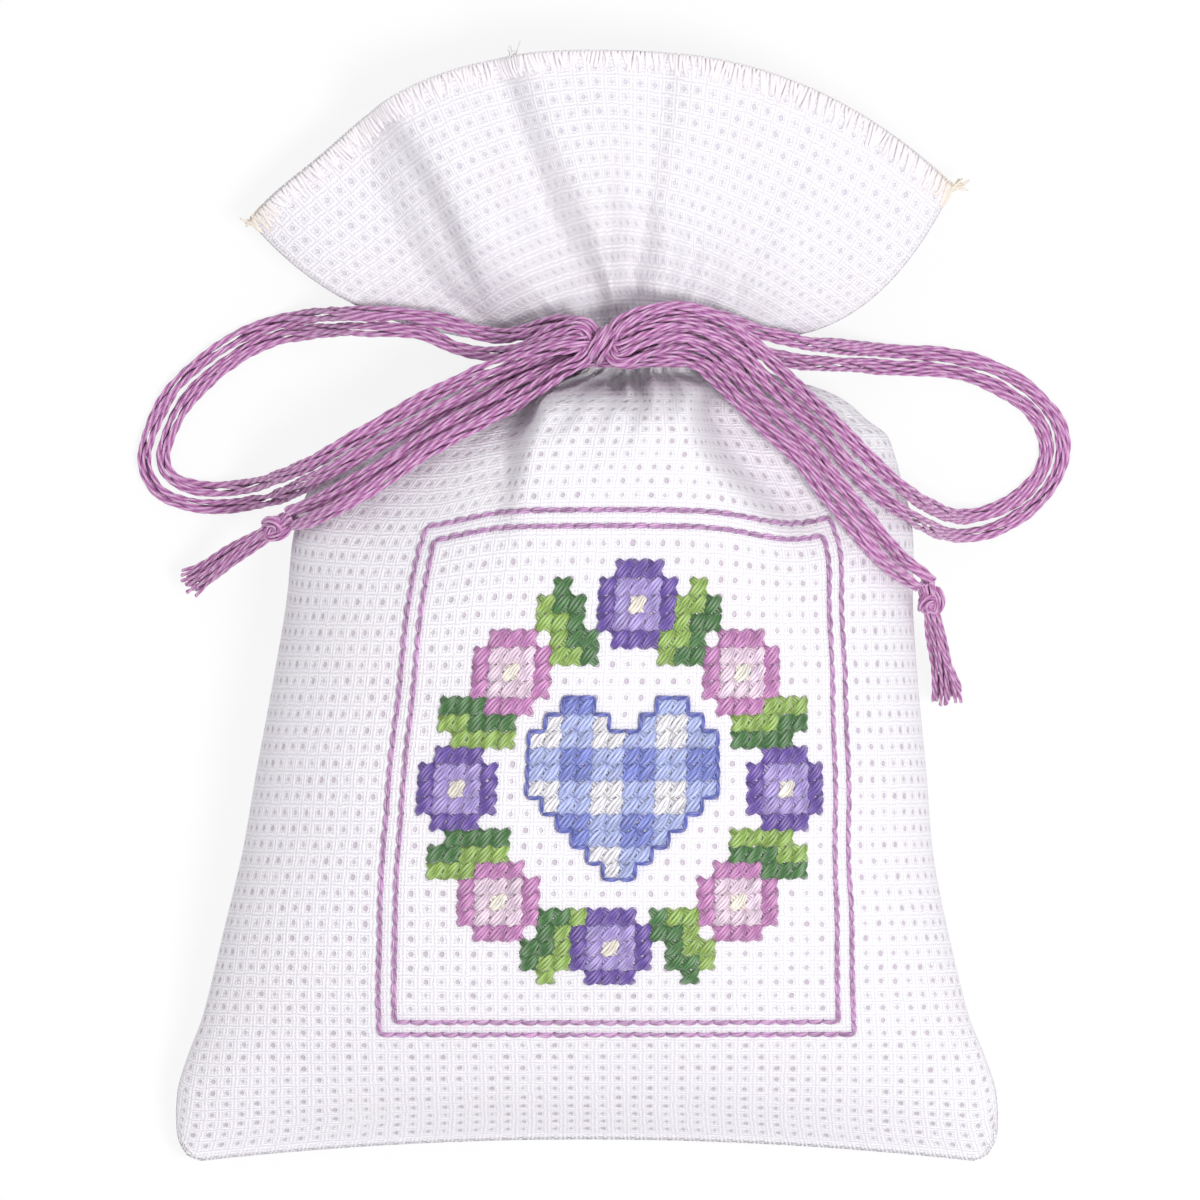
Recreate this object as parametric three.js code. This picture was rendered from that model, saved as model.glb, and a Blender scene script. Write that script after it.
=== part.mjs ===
import * as THREE from 'three';

// A lavender sachet: an evenweave cloth bag filled with dried lavender buds, tied with a floss bow.
// It lies on its back. X is right, Y runs towards the mouth, Z is up out of the front. Millimetres.
// The origin is on the resting surface under the middle of the bag.

// Bag
const clothWidth = 80;
const bagLength = 108;
const bagThickness = 30;
const clothThickness = 0.7;
const seamHeight = 11;
const restSquash = 1.5;
const bottomArch = 2.4;
const cornerRound = 3;

// Tied neck
const tieHeight = 78.6;
const tieOffset = 5.1;
const neckWidth = 20;
const neckThickness = 13;
const pleatDepth = 1.1;
const pleatCount = 7;

// Flared mouth
const mouthWidth = 68.2;
const mouthOffset = 1.4;
const mouthFrontRise = 9;
const mouthBackDrop = 3.6;
const mouthSeamHeight = 6;
const leftCornerDrop = 16.1;
const rightCornerDrop = 12.9;
const backPeek = 0.3;
const foldDepth = 3.4;

// Filling, seams and edging
const fillingClearance = 1.2;
const seamBandWidth = 2.4;
const seamBandThickness = 0.5;
const edgingWidth = 2.2;
const edgingThickness = 0.4;

// Floss cord, knots and tassels
const cordDiameter = 1.25;
const bowKnotLength = 2.6;
const bowKnotDiameter = 3.9;
const tailKnotLength = 3.2;
const tailKnotDiameter = 2.9;
const tasselLength = 13.3;
const tasselTopDiameter = 2.4;
const tasselEndDiameter = 3.2;

// Embroidery
const stitchRise = 0.45;
const borderWidth = 44.5;
const borderBottomMargin = 12.8;
const borderTopMargin = 16.4;
const borderMiddleX = 2.8;
const borderLineWidth = 0.6;
const borderLineGap = 1.5;
const motifCount = 8;

// The bow knot lies left of the neck's middle and a little above the tie's height
const bowKnotAside = 3.7;
const bowKnotRise = 0.8;
const bowKnotClearance = 0.15;

// Places of each tail's knot, with the way that the tail leaves it
const leftTailKnotPlace = [-29, 8.5, 14.4];
const leftTailEnd = [-39.6, 1.9, 2];
const rightTailKnotPlace = [32.9, 1.9, 16];
const rightTailEnd = [35.6, -10.5, 2];

// Touching pieces keep this gap
const gap = 0.3;
const seamGap = 0.3;

const bottomY = -bagLength / 2;
const topY = bagLength / 2;
const tieY = bottomY + tieHeight;
const cordRadius = cordDiameter / 2;

// The tied neck is straight for the height of two turns of cord, with a gap beside each
const neckBand = 2 * cordDiameter + 3 * gap;
const neckTopY = tieY + neckBand / 2;
const bodyHeight = neckTopY - bottomY;
const neckStart = 1 - neckBand / bodyHeight;

// The bow knot rests on the turns of cord round the neck
const turnFrontZ = seamHeight + seamGap / 2 + neckThickness / 2 + gap + cordDiameter;
const bowKnotX = tieOffset - bowKnotAside;
const bowKnotY = tieY + bowKnotRise;
const bowKnotZ = turnFrontZ + bowKnotClearance + bowKnotDiameter / 2;

// The border fills the front between the bottom fold and the tie, the wreath fits inside it,
// and the motifs share out the wreath
const borderHeight = tieHeight - borderBottomMargin - borderTopMargin;
const borderMiddleY = bottomY + borderBottomMargin + borderHeight / 2;
const wreathRadiusShare = 0.7;
const wreathRadius = (wreathRadiusShare * Math.min(borderWidth, borderHeight)) / 2;
const motifPitch = (Math.PI * wreathRadius) / motifCount;
const blossomPitchShare = 1.2;
const leafLengthShare = 1.08;
const leafWidthShare = 0.63;
const heartWidthShare = 1.15;
const heartHeightShare = 0.933;
const blossomDiameter = blossomPitchShare * motifPitch;
const leafLength = leafLengthShare * motifPitch;
const leafWidth = leafWidthShare * motifPitch;
const heartWidth = heartWidthShare * wreathRadius;
const heartHeight = heartHeightShare * heartWidth;

// Shapes along the body, from the bottom fold at 0 to the neck's top at 1
const halfWidthShares = [
  [0, 0.995], [0.035, 1], [0.08, 0.992], [0.13, 0.965], [0.18, 0.93], [0.28, 0.88], [0.376, 0.838],
  [0.475, 0.812], [0.574, 0.784], [0.673, 0.76], [0.77, 0.748], [0.83, 0.71], [0.88, 0.655],
  [0.9, 0.59], [0.925, 0.51], [0.943, 0.41],
];
const middleShares = [[0, 0], [0.3, -0.02], [0.5, 0.1], [0.7, 0.26], [0.85, 0.45], [0.955, 1], [1, 1]];
const seamRiseShares = [[0, 0.3], [0.1, 0.5], [0.3, 0.85], [0.6, 1], [1, 1]];
const frontRiseShares = [
  [0, 0], [0.02, 0.1], [0.08, 0.37], [0.18, 0.67], [0.28, 0.85], [0.38, 0.95], [0.5, 1],
  [0.64, 1], [0.76, 0.93], [0.85, 0.77], [0.91, 0.57],
];
const backDropShares = [[0, 0], [0.08, 0.32], [0.15, 0.56], [0.3, 0.88], [0.5, 1], [0.73, 1], [0.86, 0.82]];

// Folds: place across at the tie, place across at the far end, width, depth and length
const bodyFoldShares = [
  [-0.7, -0.3, 0.13, 1, 0.27], [-0.1, -0.06, 0.09, 0.5, 0.1],
  [0.42, 0.43, 0.12, 0.75, 0.25], [0.8, 0.72, 0.1, 0.5, 0.16],
];
const flareFoldShares = [
  [-0.72, -0.6, 0.14, 1, 2.4], [-0.33, -0.23, 0.09, 0.35, 2.4],
  [0.05, 0.14, 0.08, 0.6, 2.4], [0.5, 0.56, 0.14, 0.55, 2.4],
];
const foldFadePower = 1.5;
const foldAcrossPower = 0.6;
const backBodyFoldShare = 0.5;
const backFlareFoldShare = 0.4;
const pleatReachShare = 0.06;

// The bottom arch and the rounding of the bottom corners, as shares of the body's height
const archReachShare = 0.2;
const cornerReachShare = 0.08;
const cornerPower = 24;

// A section's height falls off across as the cosine to one of these powers
const backSectionPower = 0.75;
const rimSectionPower = 0.7;

// The flare's side lines: fall of the rim towards its corners and place of each line's turn
const cornerDropPower = 2.5;
const flareTurnShare = 0.62;
const flareTurnHeightShares = [0.5, -0.1];
const flareTurnPower = 1.5;

// Ends of the filling along the body, rows of the seam stitching, and the rim stitches on the flare
const fillingEndShares = [0.06, 0.86];
const seamRowShares = [0.16, 0.24, 0.34, 0.44, 0.54, 0.64, 0.72, 0.8];
const edgingReachShare = 0.93;
const edgingPlaceShare = 0.05;
const borderTaperShare = 0.065;

// Profiles of a knot and of a tassel: radius, then place along. A tassel's radius runs top to end.
const knotProfileShares = [[0, 0], [0.55, 0], [0.88, 0.18], [1, 0.5], [0.88, 0.82], [0.55, 1], [0, 1]];
const tasselProfileShares = [[0, 0], [0.7, 0], [1, 0.12], [1, 0.6], [1, 0.95], [0.8, 1], [0, 1]];

// Outlines of the motifs: petals of a blossom, and the four waves of a heart with their full height
const petalCount = 4;
const petalDepthShare = 0.18;
const heartWaveShares = [13, -5, -2, -1];
const heartWaveHeightShare = 29;

// Fineness of the grids, tubes and turned forms
const frontColumns = 32;
const backColumns = 24;
const frontRows = [17, 9];
const backRows = [16, 8];
const fillingColumns = 12;
const fillingRows = 12;
const edgingColumns = 28;
const cordSides = 8;
const cordStepShare = 2.4;
const neckTurnSteps = 28;
const turnedSides = 12;
const borderSteps = 12;
const heartSteps = 24;
const heartRings = 3;
const blossomSteps = 16;
const blossomRings = 2;
const leafSteps = 8;
const normalStepShare = 0.004;

// Routes of the bow's cords, each from the knot. A loop goes out along its upper leg and back.
const cordRoutes = {
  left_loop_cord_1: [
    [-0.3, 27.1, 20.2], [-3, 27.5, 18.4], [-6, 26.7, 15.8], [-8.6, 26.3, 13.6], [-11, 26.8, 12.7],
    [-14.3, 27.9, 12.2], [-18.1, 28.5, 11.4], [-21, 28.6, 10.6], [-24, 28.6, 7.8], [-27, 28.5, 3.4],
    [-29.8, 28.1, 1], [-33.5, 26.8, 0.8], [-37.5, 24.3, 0.8], [-40.9, 20.8, 0.8], [-42.9, 16.5, 0.8],
    [-43.1, 13.9, 0.8], [-41.7, 11.3, 0.8], [-38.5, 10, 0.8], [-35.8, 9.9, 1.2], [-33.2, 10.2, 3.2],
    [-31, 10.6, 6.4], [-28.9, 11.3, 10.6], [-26.6, 12.3, 15.1], [-24.5, 13.4, 17.7], [-22, 14.7, 18.7],
    [-18, 17, 18.7], [-13.5, 19.4, 18.4], [-9.5, 21.4, 18.1], [-5.5, 23.3, 18.3], [-2.4, 24.8, 19.2],
    [-0.3, 25.55, 20.2],
  ],
  left_loop_cord_2: [
    [-0.3, 27.1, 21.75], [-3, 26.5, 20.1], [-6.5, 24.9, 17.3], [-10, 24.6, 13.8], [-13, 25.4, 12.2],
    [-16, 26.7, 12], [-19.5, 27, 11.1], [-22.4, 27.05, 8.8], [-25, 27, 5.6], [-27.6, 26.9, 2.6],
    [-30, 26.5, 1.1], [-33, 25.3, 0.8], [-36.4, 23, 0.8], [-39.4, 19.8, 0.8], [-41.2, 16.1, 0.8],
    [-41.4, 14.3, 0.8], [-40.6, 12.8, 0.8], [-38.4, 11.75, 0.8], [-35.6, 11.6, 1.9], [-33, 11.9, 4.6],
    [-30.6, 12.5, 8.8], [-28.6, 13.2, 12.6], [-26.3, 14.2, 15.8], [-23.6, 15.7, 17.6],
    [-18.8, 18.5, 17.4], [-14.3, 20.9, 17.5], [-10, 22.9, 18.6], [-6, 24.4, 19.7], [-3, 25.2, 21.3],
    [-0.3, 25.55, 21.75],
  ],
  right_loop_cord_1: [
    [3.1, 27.1, 20.2], [6, 27.9, 18.4], [9.5, 28.4, 17.7], [13, 27.9, 16.5], [16.2, 26.9, 14.7],
    [20.7, 25.8, 12], [23.5, 25.5, 8.2], [26.5, 25.3, 4.4], [29.2, 25.2, 1.8], [32, 25.05, 0.8],
    [36, 24.6, 0.8], [40, 23.4, 0.8], [43.5, 21.2, 0.8], [45.8, 18.5, 0.8], [46.5, 15.6, 0.8],
    [45.9, 13, 0.8], [44, 10.4, 0.8], [41, 8.3, 0.8], [38.6, 7.4, 1.2], [36.6, 7.1, 3],
    [34.9, 7.3, 6], [33.4, 7.8, 9.8], [31.8, 8.5, 14.3], [30.1, 9.5, 17.7], [28.2, 10.9, 19.7],
    [25.4, 13.6, 20.6], [22.7, 16.8, 20.2], [19.9, 19.4, 19], [17.2, 22, 17.9], [14.6, 24.8, 18.8],
    [12, 26.6, 19.9], [9, 27.4, 20.4], [5.6, 26.7, 21.3], [3.1, 25.55, 21.75],
  ],
  right_loop_cord_2: [
    [3.1, 25.55, 20.2], [5.3, 26.4, 19.7], [8, 26.85, 19.1], [12, 26.3, 18.3], [14.3, 25.6, 17.1],
    [16.4, 24.9, 15.3], [18.6, 24.3, 12.8], [20.7, 23.9, 11], [23.4, 23.8, 7.9], [26, 23.7, 4.9],
    [28.6, 23.6, 2.4], [31.4, 23.5, 1], [34.5, 23.25, 0.8], [37.2, 22.7, 0.8], [40, 21.6, 0.8],
    [42.6, 19.9, 0.8], [44.3, 17.9, 0.8], [44.9, 15.6, 0.8], [44.4, 13.6, 0.8], [42.9, 11.6, 0.8],
    [40.6, 10, 0.9], [38.5, 9.2, 1.6], [36.6, 9, 3.6], [35, 9.2, 6.8], [33.5, 9.8, 10.2],
    [32, 10.6, 13.8], [30.4, 11.7, 16.8], [28.7, 13, 18.5], [26.4, 15.2, 19.8], [23.9, 17.8, 20.6],
    [21.1, 20.5, 18.9], [18.4, 23.1, 17.6], [15.7, 25.9, 18.2], [12.8, 28, 19.2], [9, 28.9, 19.7],
    [5.6, 28.5, 20.9], [3.1, 27.1, 21.75],
  ],
  left_tail_cord_1: [
    [-0.3, 24, 20.2], [-2.6, 23.3, 19.7], [-5.8, 21.8, 19.7], [-9.5, 19.8, 20.5], [-13.5, 17.7, 20.9],
    [-17.4, 15.2, 20.7], [-21, 12.9, 20.6], [-23.6, 11.5, 19.7], [-25.9, 10.4, 17.9],
    [-27.6, 9.8, 16.3], [-28.9, 9.4, 15],
  ],
  left_tail_cord_2: [
    [-0.3, 24, 21.75], [-2.8, 22.6, 21.1], [-6, 20.2, 21.2], [-9.7, 18.2, 21.9], [-13.6, 16.1, 22.3],
    [-17.3, 13.7, 22.3], [-20.9, 11.4, 22.1], [-23.6, 9.9, 21], [-25.8, 8.9, 19.1],
    [-27.3, 8.3, 17.2], [-28.3, 8, 15.6],
  ],
  right_tail_cord_1: [
    [3.1, 24, 21.75], [5.8, 25.1, 21.8], [9, 25.8, 20.6], [11.5, 25, 19.7], [13.7, 23.4, 18.3],
    [16.1, 20.7, 18.9], [18.8, 18.1, 20.4], [21.5, 15.5, 21.6], [24, 12.3, 22.1], [26.6, 9.3, 21.7],
    [28.8, 6.6, 20.1], [30.5, 4.8, 18.4], [32.2, 3.6, 17.5], [33.4, 2.6, 16.6],
  ],
  right_tail_cord_2: [
    [3.1, 24, 20.2], [6, 24.1, 20.4], [8.8, 24.2, 20.1], [10.8, 23.6, 19.2], [12.6, 22.1, 19.2],
    [14.9, 19.6, 20.5], [17.6, 17, 22], [20.3, 14.4, 22.9], [22.8, 11.2, 23.7], [25.3, 8.3, 23.8],
    [27.5, 5.4, 22.4], [29.2, 3.9, 20.4], [30.6, 2.9, 18.7], [31.9, 2.1, 16.9],
  ],
};

const cloth = new THREE.MeshStandardMaterial({ color: 0xf6f3f7, roughness: 0.9, metalness: 0 });
const seamThread = new THREE.MeshStandardMaterial({ color: 0xf1ebe6, roughness: 0.8, metalness: 0 });
const buds = new THREE.MeshStandardMaterial({ color: 0x7d7390, roughness: 1, metalness: 0 });
const floss = new THREE.MeshStandardMaterial({ color: 0xb078b4, roughness: 0.55, metalness: 0 });
const borderFloss = new THREE.MeshStandardMaterial({ color: 0xd6a0c8, roughness: 0.6, metalness: 0 });
const violetFloss = new THREE.MeshStandardMaterial({ color: 0x5f4196, roughness: 0.6, metalness: 0 });
const pinkFloss = new THREE.MeshStandardMaterial({ color: 0xcd96c3, roughness: 0.6, metalness: 0 });
const greenFloss = new THREE.MeshStandardMaterial({ color: 0x6e9a4a, roughness: 0.6, metalness: 0 });
const blueFloss = new THREE.MeshStandardMaterial({ color: 0x8c9ad0, roughness: 0.6, metalness: 0 });

const sachet = new THREE.Group();

/** Adds a named piece to the sachet. */
function addPiece(name, geometry, material) {
  const mesh = new THREE.Mesh(geometry, material);
  mesh.name = name;
  sachet.add(mesh);
  return mesh;
}

/** Mixes two values: a at t = 0 and b at t = 1. */
function mix(a, b, t) {
  return a + (b - a) * t;
}

/** Height at t of a smooth curve through rows of [place, height], level past both ends. */
function follow(rows, t) {
  const last = rows.length - 1;
  const at = Math.min(Math.max(t, rows[0][0]), rows[last][0]);
  let i = 0;
  while (i < last - 1 && at > rows[i + 1][0]) i += 1;
  const slope = (k) => {
    const before = rows[Math.max(k - 1, 0)];
    const after = rows[Math.min(k + 1, last)];
    return (after[1] - before[1]) / (after[0] - before[0]);
  };
  const [startPlace, start] = rows[i];
  const [endPlace, end] = rows[i + 1];
  const span = endPlace - startPlace;
  const p = (at - startPlace) / span;
  return start * (1 + 2 * p) * (1 - p) ** 2 + end * p * p * (3 - 2 * p)
    + slope(i) * span * p * (1 - p) ** 2 + slope(i + 1) * span * p * p * (p - 1);
}

/** Depth of the folds at u across and d away from the tie, as a share of the fold depth. */
function foldShare(folds, u, d) {
  let total = 0;
  for (const [atTie, atEnd, width, depth, reach] of folds) {
    const along = Math.min(d / reach, 1);
    const middle = mix(atTie, atEnd, along);
    total += depth * Math.exp(-(((u - middle) / width) ** 2)) * (1 - along) ** foldFadePower;
  }
  return total;
}

/** Small pleats beside the tie: a cosine across that fades as a bell curve away from it. */
function pleat(u, d) {
  const fade = Math.exp(-((d / pleatReachShare) ** 2));
  return -pleatDepth * fade * (1 - Math.cos(2 * Math.PI * pleatCount * u)) / 2;
}

/** Half the body's width seen from above, down to the neck's at the tie. */
function halfWidth(s) {
  return follow([...halfWidthShares, [neckStart, neckWidth / clothWidth]], s) * clothWidth / 2;
}

/** Height of the front above the seams, or drop of the back below them, at s along the body. */
function sectionHeight(s, side) {
  const full = side > 0 ? bagThickness - seamHeight : seamHeight + restSquash;
  const rows = side > 0 ? frontRiseShares : backDropShares;
  const neck = [neckStart, neckThickness / 2 / full];
  return Math.max(full * follow([...rows, neck], s), clothThickness);
}

/** Point of the body's section: side 1 is the front and -1 the back, depth is inwards from the face. */
function bodyPoint(u, s, side, depth) {
  const angle = (u * Math.PI) / 2;
  const round = Math.cos(angle);
  const x = follow(middleShares, s) * tieOffset + (halfWidth(s) - depth) * Math.sin(angle);
  const arch = bottomArch * round ** 2 * Math.max(0, 1 - s / archReachShare) ** 2;
  const rounding = Math.abs(u) ** cornerPower * Math.max(0, 1 - s / cornerReachShare) ** 2;
  const y = bottomY + arch + cornerRound * rounding + bodyHeight * s;
  const away = Math.max(0, neckStart - s);
  const fold = foldDepth * foldShare(bodyFoldShares, u, away) * (side > 0 ? 1 : backBodyFoldShare);
  const shape = side > 0 ? round : round ** backSectionPower;
  const folded = (pleat(u, away) - fold) * round ** foldAcrossPower;
  const lift = seamGap / 2 + (sectionHeight(s, side) - depth) * shape + folded;
  const z = follow(seamRiseShares, s) * seamHeight + side * Math.max(lift, seamGap / 2);
  return new THREE.Vector3(x, y, z);
}

/** Point of the flared mouth, w = 0 at the tie and 1 at the mouth: an arc from the neck to the rim. */
function flarePoint(u, w, side, depth) {
  const angle = (u * Math.PI) / 2;
  const round = Math.cos(angle);
  const neckX = tieOffset + (neckWidth / 2 - depth) * Math.sin(angle);
  const rimX = mouthOffset + (mouthWidth / 2 - depth) * u;
  const drop = (u < 0 ? leftCornerDrop : rightCornerDrop) * Math.abs(u) ** cornerDropPower;
  const rimY = topY - drop - (side > 0 ? backPeek : 0);
  const [middleTurn, cornerTurn] = flareTurnHeightShares;
  const turnX = mix(neckX, rimX, flareTurnShare);
  const turnY = mix(neckTopY, rimY, mix(middleTurn, cornerTurn, Math.abs(u) ** flareTurnPower));
  const x = neckX * (1 - w) ** 2 + turnX * 2 * w * (1 - w) + rimX * w * w;
  const y = neckTopY * (1 - w) ** 2 + turnY * 2 * w * (1 - w) + rimY * w * w;
  const shell = mix(neckThickness / 2, side > 0 ? mouthFrontRise : mouthBackDrop, w) - depth;
  const shape = mix(round, round ** rimSectionPower, w);
  const fold = foldDepth * foldShare(flareFoldShares, u, w) * (side > 0 ? 1 : backFlareFoldShare);
  const folded = (pleat(u, w / 2) - fold) * round ** foldAcrossPower;
  const lift = seamGap / 2 + shell * shape + folded;
  const z = mix(seamHeight, mouthSeamHeight, w) + side * Math.max(lift, seamGap / 2);
  return new THREE.Vector3(x, y, z);
}

/** Point of a panel: v runs from 0 at the bottom fold over 1 at the tie to 2 at the mouth. */
function panelPoint(u, v, side, depth) {
  const point = v <= 1 ? bodyPoint(u, v, side, depth) : flarePoint(u, v - 1, side, depth);
  if (side < 0) point.z = Math.max(point.z, depth);
  return point;
}

/** Geometry of a closed body from its points and triangles. */
function closedGeometry(positions, index) {
  const geometry = new THREE.BufferGeometry();
  geometry.setAttribute('position', new THREE.Float32BufferAttribute(positions, 3));
  geometry.setIndex(index);
  geometry.computeVertexNormals();
  return geometry;
}

/** Closed body between two grids of points, outer and inner, joined all round their rims. */
function shellGeometry(outer, inner) {
  const rows = outer.length;
  const columns = outer[0].length;
  const positions = [];
  const place = (p) => positions.push(p.x, p.y, p.z);
  outer.forEach((row) => row.forEach(place));
  inner.forEach((row) => row.forEach(place));
  const inside = rows * columns;
  const index = [];
  const quad = (a, b, c, d) => index.push(a, b, c, a, c, d);
  for (let j = 0; j < rows - 1; j += 1) {
    for (let i = 0; i < columns - 1; i += 1) {
      const a = j * columns + i;
      quad(a, a + 1, a + columns + 1, a + columns);
      quad(inside + a, inside + a + columns, inside + a + columns + 1, inside + a + 1);
    }
  }
  const top = (rows - 1) * columns;
  for (let i = 0; i < columns - 1; i += 1) {
    quad(i, inside + i, inside + i + 1, i + 1);
    quad(top + i, top + i + 1, inside + top + i + 1, inside + top + i);
  }
  for (let j = 0; j < rows - 1; j += 1) {
    const left = j * columns;
    const right = left + columns - 1;
    quad(left, left + columns, inside + left + columns, inside + left);
    quad(right, inside + right, inside + right + columns, right + columns);
  }
  return closedGeometry(positions, index);
}

/** Rows of a panel: close together at the bottom fold and at the tie, even across the flare. */
function panelRows([bodyRows, flareRows]) {
  const rows = [];
  for (let j = 0; j <= bodyRows; j += 1) {
    rows.push((neckStart * (1 - Math.cos((Math.PI * j) / bodyRows))) / 2);
  }
  for (let j = 0; j <= flareRows; j += 1) rows.push(1 + j / flareRows);
  return rows;
}

/** One cloth panel, front (side 1) or back (side -1). */
function panel(side, columns, rows) {
  const grid = (depth) => panelRows(rows).map((v) => {
    const row = [];
    for (let i = 0; i <= columns; i += 1) {
      row.push(panelPoint(side * ((2 * i) / columns - 1), v, side, depth));
    }
    return row;
  });
  return shellGeometry(grid(0), grid(clothThickness));
}

/** The filling: a closed lens inside both panels, its face kept clear of them, its ends drawn to points. */
function fillingGeometry(columns, rows) {
  const depth = clothThickness + fillingClearance;
  const [first, last] = fillingEndShares;
  const positions = [];
  const index = [];
  for (let j = 0; j <= rows; j += 1) {
    const s = mix(first, last, j / rows);
    for (let i = 0; i < 2 * columns; i += 1) {
      const front = i < columns;
      const u = front ? 1 - (2 * i) / columns : (2 * (i - columns)) / columns - 1;
      const p = bodyPoint(u, s, front ? 1 : -1, depth);
      const seam = bodyPoint(u, s, 1, depth + seamBandWidth);
      positions.push(seam.x, seam.y, front ? p.z : Math.max(p.z, clothThickness + gap));
    }
  }
  const ring = 2 * columns;
  for (let j = 0; j < rows; j += 1) {
    for (let i = 0; i < ring; i += 1) {
      const a = j * ring + i;
      const b = j * ring + ((i + 1) % ring);
      index.push(a, a + ring, b, b, a + ring, b + ring);
    }
  }
  const capPoint = (j) => {
    const middle = new THREE.Vector3();
    for (let i = 0; i < ring; i += 1) {
      middle.add(new THREE.Vector3().fromArray(positions, 3 * (j * ring + i)));
    }
    middle.divideScalar(ring);
    positions.push(middle.x, middle.y, middle.z);
    return positions.length / 3 - 1;
  };
  const low = capPoint(0);
  const high = capPoint(rows);
  for (let i = 0; i < ring; i += 1) {
    const next = (i + 1) % ring;
    index.push(low, i, next, high, rows * ring + next, rows * ring + i);
  }
  return closedGeometry(positions, index);
}

/** Body swept along samples of place and normal, its section given as points of [across, up]. */
function sweep(samples, section, closed) {
  const count = samples.length;
  const sides = section.length;
  const positions = [];
  const index = [];
  samples.forEach((sample, k) => {
    const before = samples[closed ? (k + count - 1) % count : Math.max(k - 1, 0)].place;
    const after = samples[closed ? (k + 1) % count : Math.min(k + 1, count - 1)].place;
    const along = after.clone().sub(before).normalize();
    const across = new THREE.Vector3().crossVectors(sample.normal, along).normalize();
    section.forEach(([side, up]) => {
      const p = sample.place.clone().addScaledVector(across, side).addScaledVector(sample.normal, up);
      positions.push(p.x, p.y, p.z);
    });
  });
  for (let k = 0; k < (closed ? count : count - 1); k += 1) {
    const here = k * sides;
    const there = ((k + 1) % count) * sides;
    for (let i = 0; i < sides; i += 1) {
      const j = (i + 1) % sides;
      index.push(here + i, here + j, there + j, here + i, there + j, there + i);
    }
  }
  if (!closed) {
    const end = (count - 1) * sides;
    for (let i = 1; i < sides - 1; i += 1) index.push(0, i + 1, i, end, end + i, end + i + 1);
  }
  return closedGeometry(positions, index);
}

/** Flat section of a thread line that lies a gap above its cloth. */
function flatSection(width, thickness) {
  const half = width / 2;
  return [[-half, gap], [half, gap], [half, gap + thickness], [-half, gap + thickness]];
}

/** Round section of a given radius. */
function roundSection(radius, sides) {
  return Array.from({ length: sides }, (_, i) => {
    const angle = (2 * Math.PI * i) / sides;
    return [radius * Math.cos(angle), radius * Math.sin(angle)];
  });
}

/** Place and outward normal of a panel at u across and v along. */
function panelSample(u, v, side, depth) {
  const step = normalStepShare;
  const across = panelPoint(u + step, v, side, depth).sub(panelPoint(u - step, v, side, depth));
  const along = panelPoint(u, v + step, side, depth).sub(panelPoint(u, v - step, side, depth));
  const normal = across.cross(along).multiplyScalar(side).normalize();
  return { place: panelPoint(u, v, side, depth), normal };
}

/** Place and normal on the front of the bag's body, seen from above at x, y. */
function frontSample(x, y) {
  const s = (y - bottomY) / bodyHeight;
  const across = (x - follow(middleShares, s) * tieOffset) / halfWidth(s);
  return panelSample((2 * Math.asin(across)) / Math.PI, s, 1, 0);
}

/** Row of seam stitching hidden inside the bag, a band beside the left (side -1) or right (1) seam. */
function seamStitching(name, side) {
  const samples = seamRowShares.map((s) => {
    const place = bodyPoint(side, s, 1, clothThickness + 3 * gap + seamBandWidth / 2);
    place.z = follow(seamRiseShares, s) * seamHeight;
    return { place, normal: new THREE.Vector3(0, 0, 1) };
  });
  const half = seamBandWidth / 2;
  const rise = seamBandThickness / 2;
  const section = [[-half, -rise], [half, -rise], [half, rise], [-half, rise]];
  addPiece(name, sweep(samples, section, false), seamThread);
}

/** Overcast stitches along the rim of one panel, on its outer face. */
function mouthEdging(name, side) {
  const samples = [];
  for (let i = 0; i <= edgingColumns; i += 1) {
    const u = mix(-edgingReachShare, edgingReachShare, i / edgingColumns);
    samples.push(panelSample(side * u, 2 - edgingPlaceShare, side, 0));
  }
  addPiece(name, sweep(samples, flatSection(edgingWidth, edgingThickness), false), seamThread);
}

/** One turn of cord round the neck, a closed ring. */
function neckTurn(name, y) {
  const samples = [];
  const away = gap + cordRadius;
  for (let i = 0; i < neckTurnSteps; i += 1) {
    const angle = (2 * Math.PI * i) / neckTurnSteps;
    const place = new THREE.Vector3(
      tieOffset + (neckWidth / 2 + away) * Math.cos(angle),
      y,
      seamHeight + (neckThickness / 2 + seamGap / 2 + away) * Math.sin(angle),
    );
    samples.push({ place, normal: new THREE.Vector3(0, 1, 0) });
  }
  addPiece(name, sweep(samples, roundSection(cordRadius, cordSides), true), floss);
}

/** A cord: a tube of round section along its route. */
function cord(name, route) {
  const points = route.map((p) => new THREE.Vector3(...p));
  const path = new THREE.CatmullRomCurve3(points, false, 'centripetal');
  const corners = roundSection(cordRadius, cordSides).map(([x, y]) => new THREE.Vector2(x, y));
  const steps = Math.round(path.getLength() / (cordStepShare * cordDiameter));
  const options = { steps, bevelEnabled: false, extrudePath: path };
  addPiece(name, new THREE.ExtrudeGeometry(new THREE.Shape(corners), options), floss);
}

/** A turned form whose profile runs from pole to pole, set from one place towards another. */
function turned(name, profile, from, towards, material) {
  const points = profile.map(([radius, along]) => new THREE.Vector2(radius, along));
  const direction = towards.clone().sub(from).normalize();
  const mesh = addPiece(name, new THREE.LatheGeometry(points, turnedSides), material);
  mesh.quaternion.setFromUnitVectors(new THREE.Vector3(0, 1, 0), direction);
  mesh.position.copy(from);
}

/** Profile of a knot: a barrel drawn in at both ends. */
function knotProfile(length, diameter) {
  return knotProfileShares.map(([radius, along]) => [(radius * diameter) / 2, along * length]);
}

/** Profile of a tassel: narrow under its knot and spread at its cut end. */
function tasselProfile() {
  return tasselProfileShares.map(([radius, along]) => {
    const full = mix(tasselTopDiameter, tasselEndDiameter, along) / 2;
    return [radius * full, along * tasselLength];
  });
}

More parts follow.
